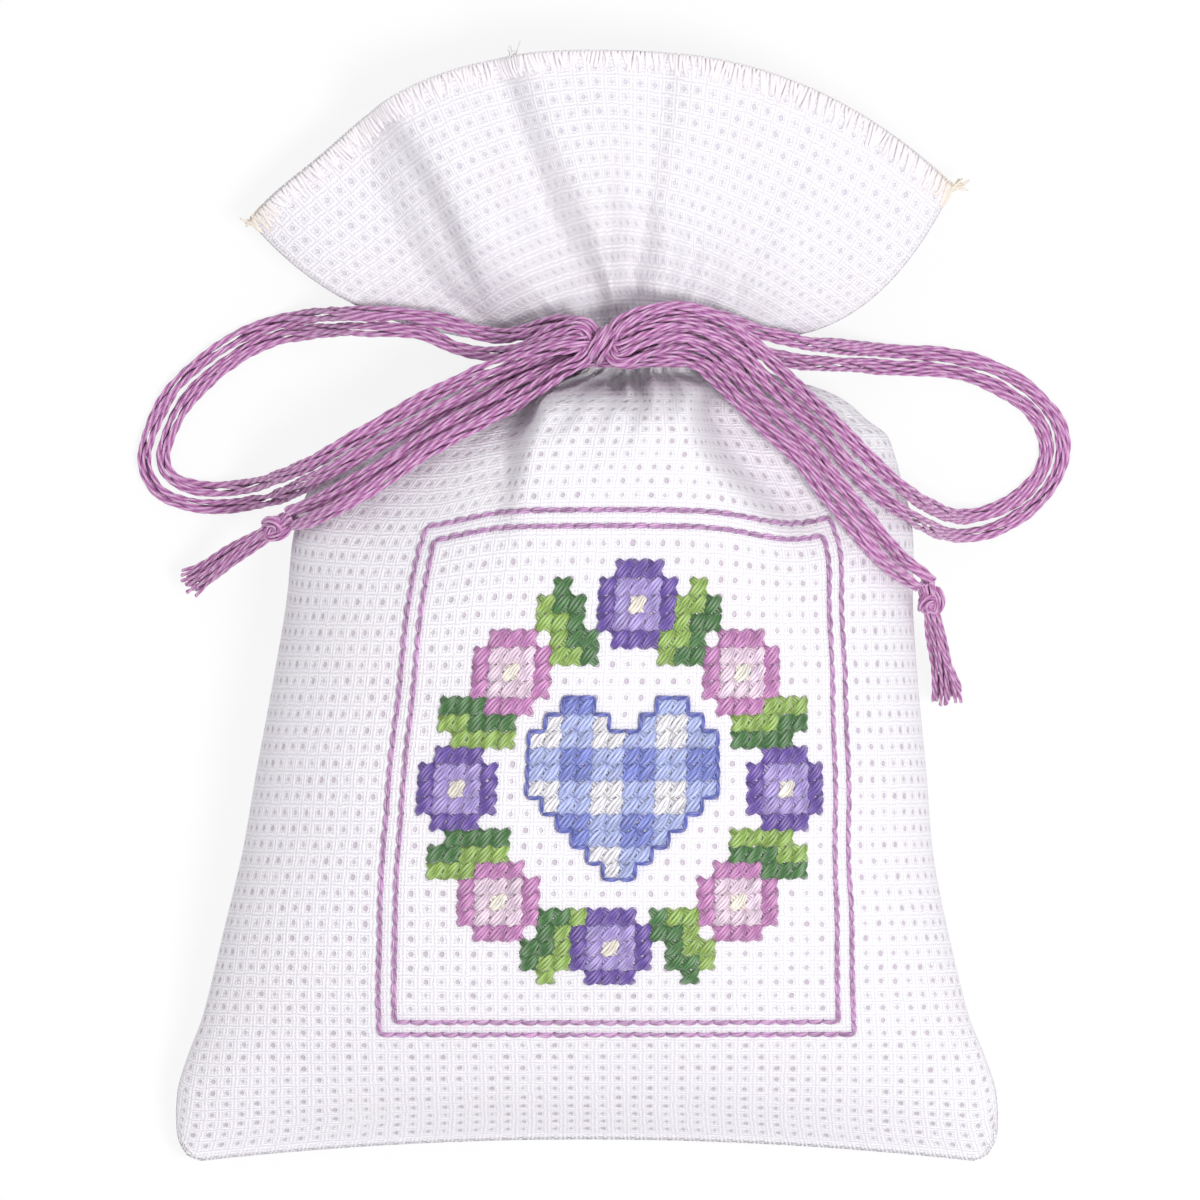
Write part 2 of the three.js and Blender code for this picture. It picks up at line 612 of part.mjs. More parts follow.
/** A raised patch of stitches over the front, its outline given as offsets from the centre by angle. */
function patch(name, centre, outline, steps, rings, material) {
  const positions = [];
  const index = [];
  const layer = (lift) => {
    const start = positions.length / 3;
    const put = (x, y) => {
      const sample = frontSample(centre.x + x, centre.y + y);
      const p = sample.place.addScaledVector(sample.normal, lift);
      positions.push(p.x, p.y, p.z);
    };
    put(0, 0);
    for (let k = 1; k <= rings; k += 1) {
      for (let i = 0; i < steps; i += 1) {
        const [x, y] = outline((2 * Math.PI * i) / steps);
        put((x * k) / rings, (y * k) / rings);
      }
    }
    return start;
  };
  const low = layer(gap);
  const high = layer(gap + stitchRise);
  const at = (start, k, i) => start + 1 + (k - 1) * steps + (i % steps);
  for (let i = 0; i < steps; i += 1) {
    index.push(high, at(high, 1, i), at(high, 1, i + 1), low, at(low, 1, i + 1), at(low, 1, i));
    for (let k = 1; k < rings; k += 1) {
      index.push(at(high, k, i), at(high, k + 1, i), at(high, k + 1, i + 1));
      index.push(at(high, k, i), at(high, k + 1, i + 1), at(high, k, i + 1));
      index.push(at(low, k, i), at(low, k + 1, i + 1), at(low, k + 1, i));
      index.push(at(low, k, i), at(low, k, i + 1), at(low, k + 1, i + 1));
    }
    index.push(at(low, rings, i), at(low, rings, i + 1), at(high, rings, i + 1));
    index.push(at(low, rings, i), at(high, rings, i + 1), at(high, rings, i));
  }
  addPiece(name, closedGeometry(positions, index), material);
}

/** One back-stitched border line: a closed frame set in from the outer one by a given distance. */
function borderLine(name, inset) {
  const left = borderMiddleX - borderWidth / 2 + inset;
  const right = borderMiddleX + borderWidth / 2 - inset;
  const bottom = borderMiddleY - borderHeight / 2 + inset;
  const top = borderMiddleY + borderHeight / 2 - inset;
  const taper = (y) => 1 - (borderTaperShare * (y - borderMiddleY)) / borderHeight;
  const corner = [[left, bottom], [right, bottom], [right, top], [left, top]];
  const samples = [];
  corner.forEach(([x, y], k) => {
    const [nextX, nextY] = corner[(k + 1) % corner.length];
    for (let i = 0; i < borderSteps; i += 1) {
      const px = mix(x, nextX, i / borderSteps);
      const py = mix(y, nextY, i / borderSteps);
      samples.push(frontSample(borderMiddleX + (px - borderMiddleX) * taper(py), py));
    }
  });
  addPiece(name, sweep(samples, flatSection(borderLineWidth, stitchRise), true), borderFloss);
}

addPiece('front_panel', panel(1, frontColumns, frontRows), cloth);
addPiece('back_panel', panel(-1, backColumns, backRows), cloth);
addPiece('lavender_filling', fillingGeometry(fillingColumns, fillingRows), buds);
seamStitching('left_seam_stitching', -1);
seamStitching('right_seam_stitching', 1);
mouthEdging('front_mouth_edging', 1);
mouthEdging('back_mouth_edging', -1);

neckTurn('neck_turn_1', tieY - (cordRadius + gap / 2));
neckTurn('neck_turn_2', tieY + (cordRadius + gap / 2));

for (const [name, route] of Object.entries(cordRoutes)) cord(name, route);

const bowKnot = new THREE.Vector3(bowKnotX, bowKnotY, bowKnotZ);
const bowKnotStart = bowKnot.clone().add(new THREE.Vector3(-bowKnotLength / 2, 0, 0));
turned('bow_knot', knotProfile(bowKnotLength, bowKnotDiameter), bowKnotStart, bowKnot, floss);

/** The knot at the end of a tail and the tassel of loose strands below it. */
function tailEnd(side, knotPlace, end) {
  const start = new THREE.Vector3(...knotPlace);
  const target = new THREE.Vector3(...end);
  const direction = target.clone().sub(start).normalize();
  const tasselStart = start.clone().addScaledVector(direction, tailKnotLength + gap);
  turned(`${side}_tail_knot`, knotProfile(tailKnotLength, tailKnotDiameter), start, target, floss);
  turned(`${side}_tassel`, tasselProfile(), tasselStart, target, floss);
}

tailEnd('left', leftTailKnotPlace, leftTailEnd);
tailEnd('right', rightTailKnotPlace, rightTailEnd);

borderLine('border_outer_line', 0);
borderLine('border_inner_line', borderLineGap);

/** Outline of a heart: across a cosine cubed, and up a sum of four cosine waves. */
function heartOutline(t) {
  const x = Math.cos(t) ** 3;
  const turn = Math.PI / 2 - t;
  const y = heartWaveShares.reduce((sum, wave, k) => sum + wave * Math.cos((k + 1) * turn), 0);
  return [(x * heartWidth) / 2, (y * heartHeight) / heartWaveHeightShare];
}

const wreathMiddle = new THREE.Vector2(borderMiddleX, borderMiddleY);
patch('check_heart', wreathMiddle, heartOutline, heartSteps, heartRings, blueFloss);

/** Outline of a blossom whose edge waves in and out once a petal. */
function blossomOutline(t) {
  const radius = (blossomDiameter / 2) * (1 - petalDepthShare * (1 - Math.cos(petalCount * t)));
  return [radius * Math.cos(t), radius * Math.sin(t)];
}

/** Outline of a leaf, an ellipse that points outwards from the wreath's middle at an angle. */
function leafOutline(turn) {
  return (t) => {
    const along = (leafLength / 2) * Math.cos(t);
    const across = (leafWidth / 2) * Math.sin(t);
    const x = along * Math.cos(turn) - across * Math.sin(turn);
    const y = along * Math.sin(turn) + across * Math.cos(turn);
    return [x, y];
  };
}

/** Place on the wreath at an angle from its middle. */
function wreathPlace(angle) {
  const outwards = new THREE.Vector2(Math.cos(angle), Math.sin(angle));
  return outwards.multiplyScalar(wreathRadius).add(wreathMiddle);
}

for (let i = 0; i < motifCount; i += 1) {
  const angle = (2 * Math.PI * i) / motifCount;
  const leafAngle = angle + Math.PI / motifCount;
  const bloom = i % 2 ? pinkFloss : violetFloss;
  patch(`blossom_${i + 1}`, wreathPlace(angle), blossomOutline, blossomSteps, blossomRings, bloom);
  patch(`leaf_${i + 1}`, wreathPlace(leafAngle), leafOutline(leafAngle), leafSteps, 1, greenFloss);
}

export default sachet;
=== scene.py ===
"""Lavender sachet: an evenweave cloth bag of dried lavender, tied with a bow of stranded floss.

The bag lies on its back and is seen from straight above. X is right, Y runs towards the mouth and Z is
up out of the stitched front. Shapes are worked out in millimetres and stored in metres.
"""
from functools import lru_cache

import bpy
import numpy as np
from numpy.lib.stride_tricks import sliding_window_view
from bpy.props import FloatProperty, FloatVectorProperty, IntProperty, PointerProperty
from bpy.types import Operator, Panel, PropertyGroup
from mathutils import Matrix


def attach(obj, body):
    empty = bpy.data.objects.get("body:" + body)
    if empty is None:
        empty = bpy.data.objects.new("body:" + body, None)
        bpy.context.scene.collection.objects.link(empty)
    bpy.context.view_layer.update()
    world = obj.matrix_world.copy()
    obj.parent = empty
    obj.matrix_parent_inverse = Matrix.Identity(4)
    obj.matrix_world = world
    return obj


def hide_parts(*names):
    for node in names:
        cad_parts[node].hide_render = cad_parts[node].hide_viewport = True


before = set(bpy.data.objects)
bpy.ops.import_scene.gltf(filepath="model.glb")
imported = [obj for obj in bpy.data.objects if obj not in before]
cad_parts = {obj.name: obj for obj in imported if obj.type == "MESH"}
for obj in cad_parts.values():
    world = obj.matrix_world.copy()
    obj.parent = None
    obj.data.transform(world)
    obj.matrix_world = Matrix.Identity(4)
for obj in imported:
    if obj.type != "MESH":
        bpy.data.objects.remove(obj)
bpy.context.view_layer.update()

bl_info = {
    "name": "Lavender sachet",
    "version": (1, 0, 0),
    "blender": (4, 5, 0),
    "location": "View3D > Sidebar > Sachet",
    "description": "Builds a cross-stitched lavender sachet piece by piece",
    "category": "Object",
}

MM = 0.001

# Floor: its own colour, and how far the camera sees it as plain white instead
FLOOR_COLOR = (0.86, 0.86, 0.87)
FLOOR_WHITE = 0.86

# Camera in metres: the place it looks straight down on, and how high its view has the set width
VIEW_MIDDLE = (0.00126, 0.00082)
VIEW_HEIGHT = 0.01

# Sizes of the bag in millimetres, as in the part
CLOTH_WIDTH = 80.0
BAG_LENGTH = 108.0
BAG_THICKNESS = 30.0
CLOTH_THICKNESS = 0.7
SEAM_HEIGHT = 11.0
REST_SQUASH = 1.5
BOTTOM_ARCH = 2.4
TIE_HEIGHT = 78.6
TIE_OFFSET = 5.1
NECK_WIDTH = 20.0
NECK_THICKNESS = 13.0
MOUTH_WIDTH = 68.2
MOUTH_OFFSET = 1.4
MOUTH_FRONT_RISE = 9.0
MOUTH_BACK_DROP = 3.6
MOUTH_SEAM_HEIGHT = 6.0
LEFT_CORNER_DROP = 16.1
RIGHT_CORNER_DROP = 12.9
BACK_PEEK = 0.3
GAP = 0.3

BOTTOM_Y = -BAG_LENGTH / 2
TOP_Y = BAG_LENGTH / 2
TIE_Y = BOTTOM_Y + TIE_HEIGHT
CORD_DIAMETER = 1.25
NECK_BAND = 2 * CORD_DIAMETER + 3 * GAP
NECK_TOP_Y = TIE_Y + NECK_BAND / 2
BODY_HEIGHT = NECK_TOP_Y - BOTTOM_Y
NECK_START = 1 - NECK_BAND / BODY_HEIGHT
FRONT_RISE = BAG_THICKNESS - SEAM_HEIGHT
BACK_DROP = SEAM_HEIGHT + REST_SQUASH

# Shapes along the body, from the bottom fold at 0 to the neck's top at 1
HALF_WIDTHS = np.array([
    (0, 1), (0.035, 1), (0.08, 0.992), (0.13, 0.965), (0.18, 0.93), (0.28, 0.88), (0.376, 0.838),
    (0.475, 0.812), (0.574, 0.784), (0.673, 0.76), (0.77, 0.748), (0.83, 0.71), (0.88, 0.655),
    (0.9, 0.59), (0.925, 0.51), (0.943, 0.41), (NECK_START, NECK_WIDTH / CLOTH_WIDTH)])
MIDDLES = np.array([(0, 0), (0.3, -0.02), (0.5, 0.1), (0.7, 0.26), (0.85, 0.45), (0.955, 1), (1, 1)])
SEAM_RISES = np.array([(0, 0.3), (0.1, 0.5), (0.3, 0.85), (0.6, 1), (1, 1)])
FRONT_RISES = np.array([
    (0, 0), (0.02, 0.1), (0.08, 0.37), (0.18, 0.67), (0.28, 0.85), (0.38, 0.95), (0.5, 1), (0.64, 1),
    (0.76, 0.93), (0.85, 0.77), (0.91, 0.57), (NECK_START, NECK_THICKNESS / 2 / FRONT_RISE)])
BACK_DROPS = np.array([
    (0, 0), (0.08, 0.32), (0.15, 0.56), (0.3, 0.88), (0.5, 1), (0.73, 1), (0.86, 0.82),
    (NECK_START, NECK_THICKNESS / 2 / BACK_DROP)])

# Share of the part's cloth thickness that the visible cloth has
VISIBLE_THICKNESS = 0.7

# Bottom corners: radius in millimetres, share of the half width that they take, and share of the
# body's height in which they and the bottom's arch fade
CORNER_ROUND = 3.6
CORNER_SHARE = 0.06
CORNER_REACH = 0.2

# Dent in the rim: depth in millimetres, place across, width
RIM_DENT = 0.9
RIM_DENT_PLACE = -0.8
RIM_DENT_WIDTH = 0.13

# Folds of the cloth: place across at the tie, place across at the far end, width, depth in
# millimetres, length, and how much steeper the right side is. The first four rows of each table are
# the part's, the others are for the looks alone.
BODY_FOLDS = [
    (-0.7, -0.3, 0.13, 3.4, 0.27, 1.0), (-0.1, -0.06, 0.09, 1.7, 0.1, 1.0),
    (0.42, 0.43, 0.12, 2.6, 0.25, 1.0), (0.8, 0.72, 0.1, 1.7, 0.16, 1.0),
    (-0.12, 0.03, 0.022, 8.0, 0.055, 1.0), (-0.03, 0.07, 0.02, 7.0, 0.06, 1.0),
    (0.43, 0.74, 0.09, 4.0, 0.22, 1.0), (-0.82, -0.48, 0.09, 4.0, 0.24, 1.4),
]
FLARE_FOLDS = [
    (-0.72, -0.6, 0.14, 3.4, 2.4, 1.0), (-0.33, -0.23, 0.09, 1.2, 2.4, 1.0),
    (0.05, 0.14, 0.08, 2.0, 2.4, 1.0), (0.5, 0.56, 0.14, 1.9, 2.4, 1.0),
    (-0.82, -0.58, 0.19, 11.0, 2.1, 3.4), (-0.15, -0.42, 0.12, 3.8, 1.9, 2.0),
    (-0.04, 0.44, 0.075, 3.4, 2.4, 1.2), (0.2, 0.42, 0.06, 3.0, 0.9, 1.0),
    (0.45, 0.62, 0.08, 3.0, 1.2, 1.0), (0.72, 0.78, 0.1, 3.0, 1.4, 1.0),
]
# Share of the cloth's height that its folds may take
FOLD_ROOM = 0.8

# Bulge of the front below the knot: height in millimetres, where it starts and how far it reaches
# from the tie as shares of the body's height, and its edges as (distance from the tie, place across)
NOSE_RISE = 8.0
NOSE_START = 0.028
NOSE_LENGTH = 0.13
NOSE_LEFT = np.array([(0, -0.36), (0.03, -0.29), (0.06, -0.235), (0.1, -0.21), (0.2, -0.2)])
NOSE_RIGHT = np.array([(0, 0.32), (0.03, 0.215), (0.06, 0.205), (0.094, 0.23), (0.13, 0.3), (0.18, 0.42)])

# Depths in millimetres of the pocket left of the bulge and the valley right of it, and how far the
# rows of the weave sag there
POCKET_DEPTH = 3.4
VALLEY_DEPTH = 4.6
LEFT_SAG = 2.0
RIGHT_SAG = 1.5

# Ridges of the flare: place across at the tie, in the middle and at the rim, height in millimetres,
# softness of the steep side, and width of the gentle side, which lies right of the ridge if positive
FLARE_RIDGES = [
    ((-0.84, -0.6, -0.64), 4.0, 0.025, 0.22), ((-0.17, -0.23, -0.27), 2.2, 0.03, 0.2),
    ((-0.04, 0.1, 0.16), 1.8, 0.03, -0.16),
]

# Wrinkles near the tie and slow lumps all over: height in millimetres, and for each wave its number
# across, its number along and its phase
CRUMPLE = 0.13
CRUMPLE_WAVES = [(21, 60, 0.3), (-16, 93, 1.9), (31, 35, 4.0), (-36, -52, 2.2), (12, 128, 5.1)]
LUMP = 0.09
LUMP_WAVES = [(7.1, 19, 0.4), (-8.7, 26, 2.6), (13.3, -11, 1.2), (3.9, 41, 3.8)]
BODY_CRUMPLE_REACH = 0.11
FLARE_CRUMPLE_REACH = 0.16

# Gathers beside the tie: depth in millimetres, how many, and how far they reach from it
PLEAT_DEPTH = 2.0
PLEAT_COUNT = 9
PLEAT_REACH = 0.055

# Filling: least distance to the cloth in millimetres, where it starts and ends along the body, and
# its share of the body's width
FILLING_GAP = 1.5
FILLING_START, FILLING_END, FILLING_WIDTH = 0.06, 0.84, 0.94

# Blocks of the weave across and along, the row at the neck, grid steps a block of each panel, and
# blocks in one unit of the UV map
COLUMNS = 54
ROWS = 79
NECK_ROW = 54
FRONT_FINE = 4
BACK_FINE = 3
BLOCKS_A_UNIT = 100

# Stitched picture, in blocks
BORDER_LEFT, BORDER_RIGHT, BORDER_BOTTOM, BORDER_TOP = 14, 44, 11, 44
WREATH = np.array([(BORDER_LEFT + BORDER_RIGHT) / 2, (BORDER_BOTTOM + BORDER_TOP) / 2])
WREATH_RADIUS = 10.5
MOTIFS = 8
BLOSSOM_SIZE = 5
LEAF_HALF_SIZES = (1.5, 2.6)
HEART_WIDTH, HEART_HEIGHT = 12, 11

# Knots and tassels in millimetres: the bow knot's middle, then for each tail its knot's start and the
# point its tassel heads for
BOW_KNOT = np.array([1.4, 25.4, 21.3])
TAILS = {"left": (np.array([-29, 8.5, 14.4]), np.array([-39.6, 1.9, 2])),
         "right": (np.array([32.9, 1.9, 16]), np.array([35.6, -10.5, 2]))}
TAIL_KNOT_LENGTH = 3.2
TASSEL_LENGTH = 13.3

# Seam stitches: where they start and end along the body, and how far in from the edge in millimetres
SEAM_START, SEAM_END, SEAM_INSET = 0.16, 0.8, 2.6

# Strands of a cross stitch in millimetres: height of their ends, of the lower leg and of the upper
# leg over the cloth, half a leg's width, and radius
STITCH_END, UNDER_RISE, OVER_RISE, LEG_REACH, STRAND_RADIUS = -0.1, 0.16, 0.34, 0.33, 0.19

# Strands of a back stitch, the same but for the two legs
BACK_END, BACK_RISE, BACK_REACH, BACK_RADIUS = -0.12, 0.16, 0.13, 0.145

# Strands of the heart's outline, the same again
OUTLINE_END, OUTLINE_RISE, OUTLINE_REACH, OUTLINE_RADIUS = -0.1, 0.45, 0.1, 0.12

# Section of a strand in a cord, a tassel and a stitch: its corners, and how deep the crease between
# its plies is as a share of its radius
CORD_SIDES, TASSEL_SIDES, STITCH_SIDES = 10, 8, 6
CORD_LOBES, TASSEL_LOBES = 0.18, 0.16

# How a cord's strands wander: lengths in millimetres of the two waves. Share of a turn between one
# strand of a tassel and the next, which spreads any number of them evenly.
WANDER_WAVES = (13, 21)
EVEN_TURN = 0.381966

# Wrap of the bow knot: its turns, where it starts as a share of one, tilt in radians, and length,
# height and depth in millimetres
WRAP_TURNS, WRAP_START, WRAP_TILT = 2.2, -0.35, 0.7
WRAP_LENGTH, WRAP_RISE, WRAP_DEPTH = 1.4, 1.35, 1.25

# Cords in the looks: how much thicker than the part's they are where loose, diameter of the bow
# knot's wrap and of a tail knot's core in millimetres, step along a knot, and how loose knots are
CORD_SWELL, WRAP_DIAMETER, CORE_DIAMETER = 1.2, 1.4, 1.5
KNOT_STEP, KNOT_LOOSE = 0.2, 0.05

# Step along a cord, where the cords of each side leave the knot, and their routes, all in
# millimetres. Each route starts at the knot, and a loop goes out along its upper leg and back.
CORD_STEP = 0.24
CORD_EXITS = {"left": (0.6, 25.5, 21.1), "right": (2.2, 25.5, 21.1)}
CORD_ROUTES = {
    "left_loop_cord_1": [
        (-0.3, 27.1, 20.2), (-3, 27.5, 18.4), (-6, 26.7, 15.8), (-8.6, 26.3, 13.6), (-11, 26.8, 12.7),
        (-14.3, 27.9, 12.2), (-18.1, 28.5, 11.4), (-21, 28.6, 10.6), (-24, 28.6, 7.8), (-27, 28.5, 3.4),
        (-29.8, 28.1, 1), (-33.5, 26.8, 0.8), (-37.5, 24.3, 0.8), (-40.9, 20.8, 0.8), (-42.9, 16.5, 0.8),
        (-43.1, 13.9, 0.8), (-41.7, 11.3, 0.8), (-38.5, 10, 0.8), (-35.8, 9.9, 1.2), (-33.2, 10.2, 3.2),
        (-31, 10.6, 6.4), (-28.9, 11.3, 10.6), (-26.6, 12.3, 15.1), (-24.5, 13.4, 17.7), (-22, 14.7, 18.7),
        (-18, 17, 18.7), (-13.5, 19.4, 18.4), (-9.5, 21.4, 18.1), (-5.5, 23.3, 18.3), (-2.4, 24.8, 19.2),
        (-0.3, 25.55, 20.2),
    ],
    "left_loop_cord_2": [
        (-0.3, 27.1, 21.75), (-3, 26.5, 20.1), (-6.5, 24.9, 17.3), (-10, 24.6, 13.8), (-13, 25.4, 12.2),
        (-16, 26.7, 12), (-19.5, 27, 11.1), (-22.4, 27.05, 8.8), (-25, 27, 5.6), (-27.6, 26.9, 2.6),
        (-30, 26.5, 1.1), (-33, 25.3, 0.8), (-36.4, 23, 0.8), (-39.4, 19.8, 0.8), (-41.2, 16.1, 0.8),
        (-41.4, 14.3, 0.8), (-40.6, 12.8, 0.8), (-38.4, 11.75, 0.8), (-35.6, 11.6, 1.9), (-33, 11.9, 4.6),
        (-30.6, 12.5, 8.8), (-28.6, 13.2, 12.6), (-26.3, 14.2, 15.8), (-23.6, 15.7, 17.6),
        (-18.8, 18.5, 17.4), (-14.3, 20.9, 17.5), (-10, 22.9, 18.6), (-6, 24.4, 19.7), (-3, 25.2, 21.3),
        (-0.3, 25.55, 21.75),
    ],
    "right_loop_cord_1": [
        (3.1, 27.1, 20.2), (6, 27.9, 18.4), (9.5, 28.4, 17.7), (13, 27.9, 16.5), (16.2, 26.9, 14.7),
        (20.7, 25.8, 12), (23.5, 25.5, 8.2), (26.5, 25.3, 4.4), (29.2, 25.2, 1.8), (32, 25.05, 0.8),
        (36, 24.6, 0.8), (40, 23.4, 0.8), (43.5, 21.2, 0.8), (45.8, 18.5, 0.8), (46.5, 15.6, 0.8),
        (45.9, 13, 0.8), (44, 10.4, 0.8), (41, 8.3, 0.8), (38.6, 7.4, 1.2), (36.6, 7.1, 3), (34.9, 7.3, 6),
        (33.4, 7.8, 9.8), (31.8, 8.5, 14.3), (30.1, 9.5, 17.7), (28.2, 10.9, 19.7), (25.4, 13.6, 20.6),
        (22.7, 16.8, 20.2), (19.9, 19.4, 19), (17.2, 22, 17.9), (14.6, 24.8, 18.8), (12, 26.6, 19.9),
        (9, 27.4, 20.4), (5.6, 26.7, 21.3), (3.1, 25.55, 21.75),
    ],
    "right_loop_cord_2": [
        (3.1, 25.55, 20.2), (5.3, 26.4, 19.7), (8, 26.85, 19.1), (12, 26.3, 18.3), (14.3, 25.6, 17.1),
        (16.4, 24.9, 15.3), (18.6, 24.3, 12.8), (20.7, 23.9, 11), (23.4, 23.8, 7.9), (26, 23.7, 4.9),
        (28.6, 23.6, 2.4), (31.4, 23.5, 1), (34.5, 23.25, 0.8), (37.2, 22.7, 0.8), (40, 21.6, 0.8),
        (42.6, 19.9, 0.8), (44.3, 17.9, 0.8), (44.9, 15.6, 0.8), (44.4, 13.6, 0.8), (42.9, 11.6, 0.8),
        (40.6, 10, 0.9), (38.5, 9.2, 1.6), (36.6, 9, 3.6), (35, 9.2, 6.8), (33.5, 9.8, 10.2),
        (32, 10.6, 13.8), (30.4, 11.7, 16.8), (28.7, 13, 18.5), (26.4, 15.2, 19.8), (23.9, 17.8, 20.6),
        (21.1, 20.5, 18.9), (18.4, 23.1, 17.6), (15.7, 25.9, 18.2), (12.8, 28, 19.2), (9, 28.9, 19.7),
        (5.6, 28.5, 20.9), (3.1, 27.1, 21.75),
    ],
    "left_tail_cord_1": [
        (-0.3, 24, 20.2), (-2.6, 23.3, 19.7), (-5.8, 21.8, 19.7), (-9.5, 19.8, 20.5), (-13.5, 17.7, 20.9),
        (-17.4, 15.2, 20.7), (-21, 12.9, 20.6), (-23.6, 11.5, 19.7), (-25.9, 10.4, 17.9),
        (-27.6, 9.8, 16.3), (-28.9, 9.4, 15),
    ],
    "left_tail_cord_2": [
        (-0.3, 24, 21.75), (-2.8, 22.6, 21.1), (-6, 20.2, 21.2), (-9.7, 18.2, 21.9), (-13.6, 16.1, 22.3),
        (-17.3, 13.7, 22.3), (-20.9, 11.4, 22.1), (-23.6, 9.9, 21), (-25.8, 8.9, 19.1), (-27.3, 8.3, 17.2),
        (-28.3, 8, 15.6),
    ],
    "right_tail_cord_1": [
        (3.1, 24, 21.75), (5.8, 25.1, 21.8), (9, 25.8, 20.6), (11.5, 25, 19.7), (13.7, 23.4, 18.3),
        (16.1, 20.7, 18.9), (18.8, 18.1, 20.4), (21.5, 15.5, 21.6), (24, 12.3, 22.1), (26.6, 9.3, 21.7),
        (28.8, 6.6, 20.1), (30.5, 4.8, 18.4), (32.2, 3.6, 17.5), (33.4, 2.6, 16.6),
    ],
    "right_tail_cord_2": [
        (3.1, 24, 20.2), (6, 24.1, 20.4), (8.8, 24.2, 20.1), (10.8, 23.6, 19.2), (12.6, 22.1, 19.2),
        (14.9, 19.6, 20.5), (17.6, 17, 22), (20.3, 14.4, 22.9), (22.8, 11.2, 23.7), (25.3, 8.3, 23.8),
        (27.5, 5.4, 22.4), (29.2, 3.9, 20.4), (30.6, 2.9, 18.7), (31.9, 2.1, 16.9),
    ],
}


def follow(rows, t):
    """Smooth curve through rows of (place, height): on each span a cubic with the heights of its two
    rows and slopes equal to the chord between the rows on either side, level past both ends."""
    place, height = rows[:, 0], rows[:, 1]
    last = len(rows) - 1
    before = np.maximum(np.arange(last + 1) - 1, 0)
    after = np.minimum(np.arange(last + 1) + 1, last)
    slope = (height[after] - height[before]) / (place[after] - place[before])
    at = np.clip(t, place[0], place[last])
    i = np.clip(np.searchsorted(place, at, side="left") - 1, 0, last - 1)
    span = place[i + 1] - place[i]
    p = (at - place[i]) / span
    return (height[i] * (1 + 2 * p) * (1 - p) ** 2 + height[i + 1] * p * p * (3 - 2 * p)
            + slope[i] * span * p * (1 - p) ** 2 + slope[i + 1] * span * p * p * (p - 1))


def mix(a, b, t):
    """a at t = 0 and b at t = 1."""
    return a + (b - a) * t


def fold_depth(folds, u, d):
    """Sum of the folds' depths: each is depth * exp(-(x / width)^2) * (1 - d / length)^1.5, where x is
    the distance across from the fold's line and counts for more on its steep side."""
    total = np.zeros(np.broadcast(u, d).shape)
    for at_tie, at_end, width, depth, length, skew in folds:
        along = np.minimum(d / length, 1)
        x = (u - mix(at_tie, at_end, along)) / width
        x = np.where(x > 0, x * skew, x)
        total += depth * np.exp(-x ** 2) * (1 - along) ** 1.5
    return total


def pleat_depth(u, d):
    """Gathers beside the tie: depth * exp(-(d / reach)^2) * (1 - cos(2 pi count u')) / 2, where u' is u
    with a slow wave added, so that no two gathers are alike."""
    wandering = u + 0.035 * np.sin(5.3 * u + 1.1) + 0.02 * np.sin(11.7 * u)
    fade = np.exp(-(d / PLEAT_REACH) ** 2)
    return PLEAT_DEPTH * fade * (1 - np.cos(2 * np.pi * PLEAT_COUNT * wandering)) / 2


def nose_relief(u, d):
    """Bulge of the front below the knot, and how far the cloth is drawn in beside it. The bulge is
    rise * (1 - exp(-(d / start)^2)) * exp(-(d / length)^2) between its left and right edge, each a half
    of 1 + tanh(distance from the edge / softness). Left of it is a pocket, deepest at the edge, and
    right of it a wide valley."""
    left, right = u - follow(NOSE_LEFT, d), follow(NOSE_RIGHT, d) - u
    in_left, in_right = np.tanh(left / (0.012 + 0.5 * d * d)), np.tanh(right / (0.022 + 1.5 * d * d))
    rise = NOSE_RISE * (1 - np.exp(-(d / NOSE_START) ** 2)) * np.exp(-(d / NOSE_LENGTH) ** 2)
    pocket = POCKET_DEPTH * np.exp(-(d / 0.12) ** 2 - np.maximum(-left, 0) / 0.09) * (1 - in_left) / 2
    valley = VALLEY_DEPTH * np.exp(-((d - 0.1) / 0.08) ** 2 - (np.minimum(right, 0) / 0.2) ** 2)
    return rise * (1 + in_left) * (1 + in_right) / 4, pocket + valley * (1 - in_right) / 2


def ridge_rise(u, w):
    """Height of the flare's ridges: each rises as half of 1 + tanh(x / softness) on its steep side and
    falls as exp(-(x / width)^2) on its gentle one, x being the distance across from its line, a
    quadratic curve through its three places. All grow with the distance from the tie."""
    total = np.zeros(np.broadcast(u, w).shape)
    for (at_tie, middle, at_rim), height, soft, width in FLARE_RIDGES:
        line = at_tie * (1 - w) * (1 - 2 * w) + middle * 4 * w * (1 - w) + at_rim * w * (2 * w - 1)
        x = (u - line) * np.sign(width)
        total += height * (1 + np.tanh(x / soft)) / 2 * np.exp(-(np.maximum(x, 0) / width) ** 2)
    grown = np.clip((w - 0.15) / 0.4, 0, 1)
    return total * grown ** 2 * (3 - 2 * grown)


def row_sag(u, d):
    """How far the rows of the weave sag beside the bulge: a step over its left edge and a dip in the
    valley, each strongest at its own distance from the tie."""
    left = (1 - np.tanh((u + 0.3) / 0.09)) / 2 * np.exp(-((d - 0.15) / 0.12) ** 2)
    right = np.exp(-((u - 0.42) / 0.14) ** 2 - ((d - 0.17) / 0.08) ** 2)
    return LEFT_SAG * left + RIGHT_SAG * right


def crumple(u, d, reach):
    """Small uneven wrinkles in millimetres: five slanting waves that fade away from the tie, and slow
    lumps all over."""
    fine = sum(np.sin(a * u + b * d + c) for a, b, c in CRUMPLE_WAVES)
    slow = sum(np.sin(a * u + b * d + c) for a, b, c in LUMP_WAVES)
    return CRUMPLE * fine * np.exp(-(d / reach) ** 2) + LUMP * slow


def held_in(depth, room):
    """room * (1 - exp(-depth / room)): small depths as they are, great ones held short of the room."""
    return room * (1 - np.exp(-depth / room))


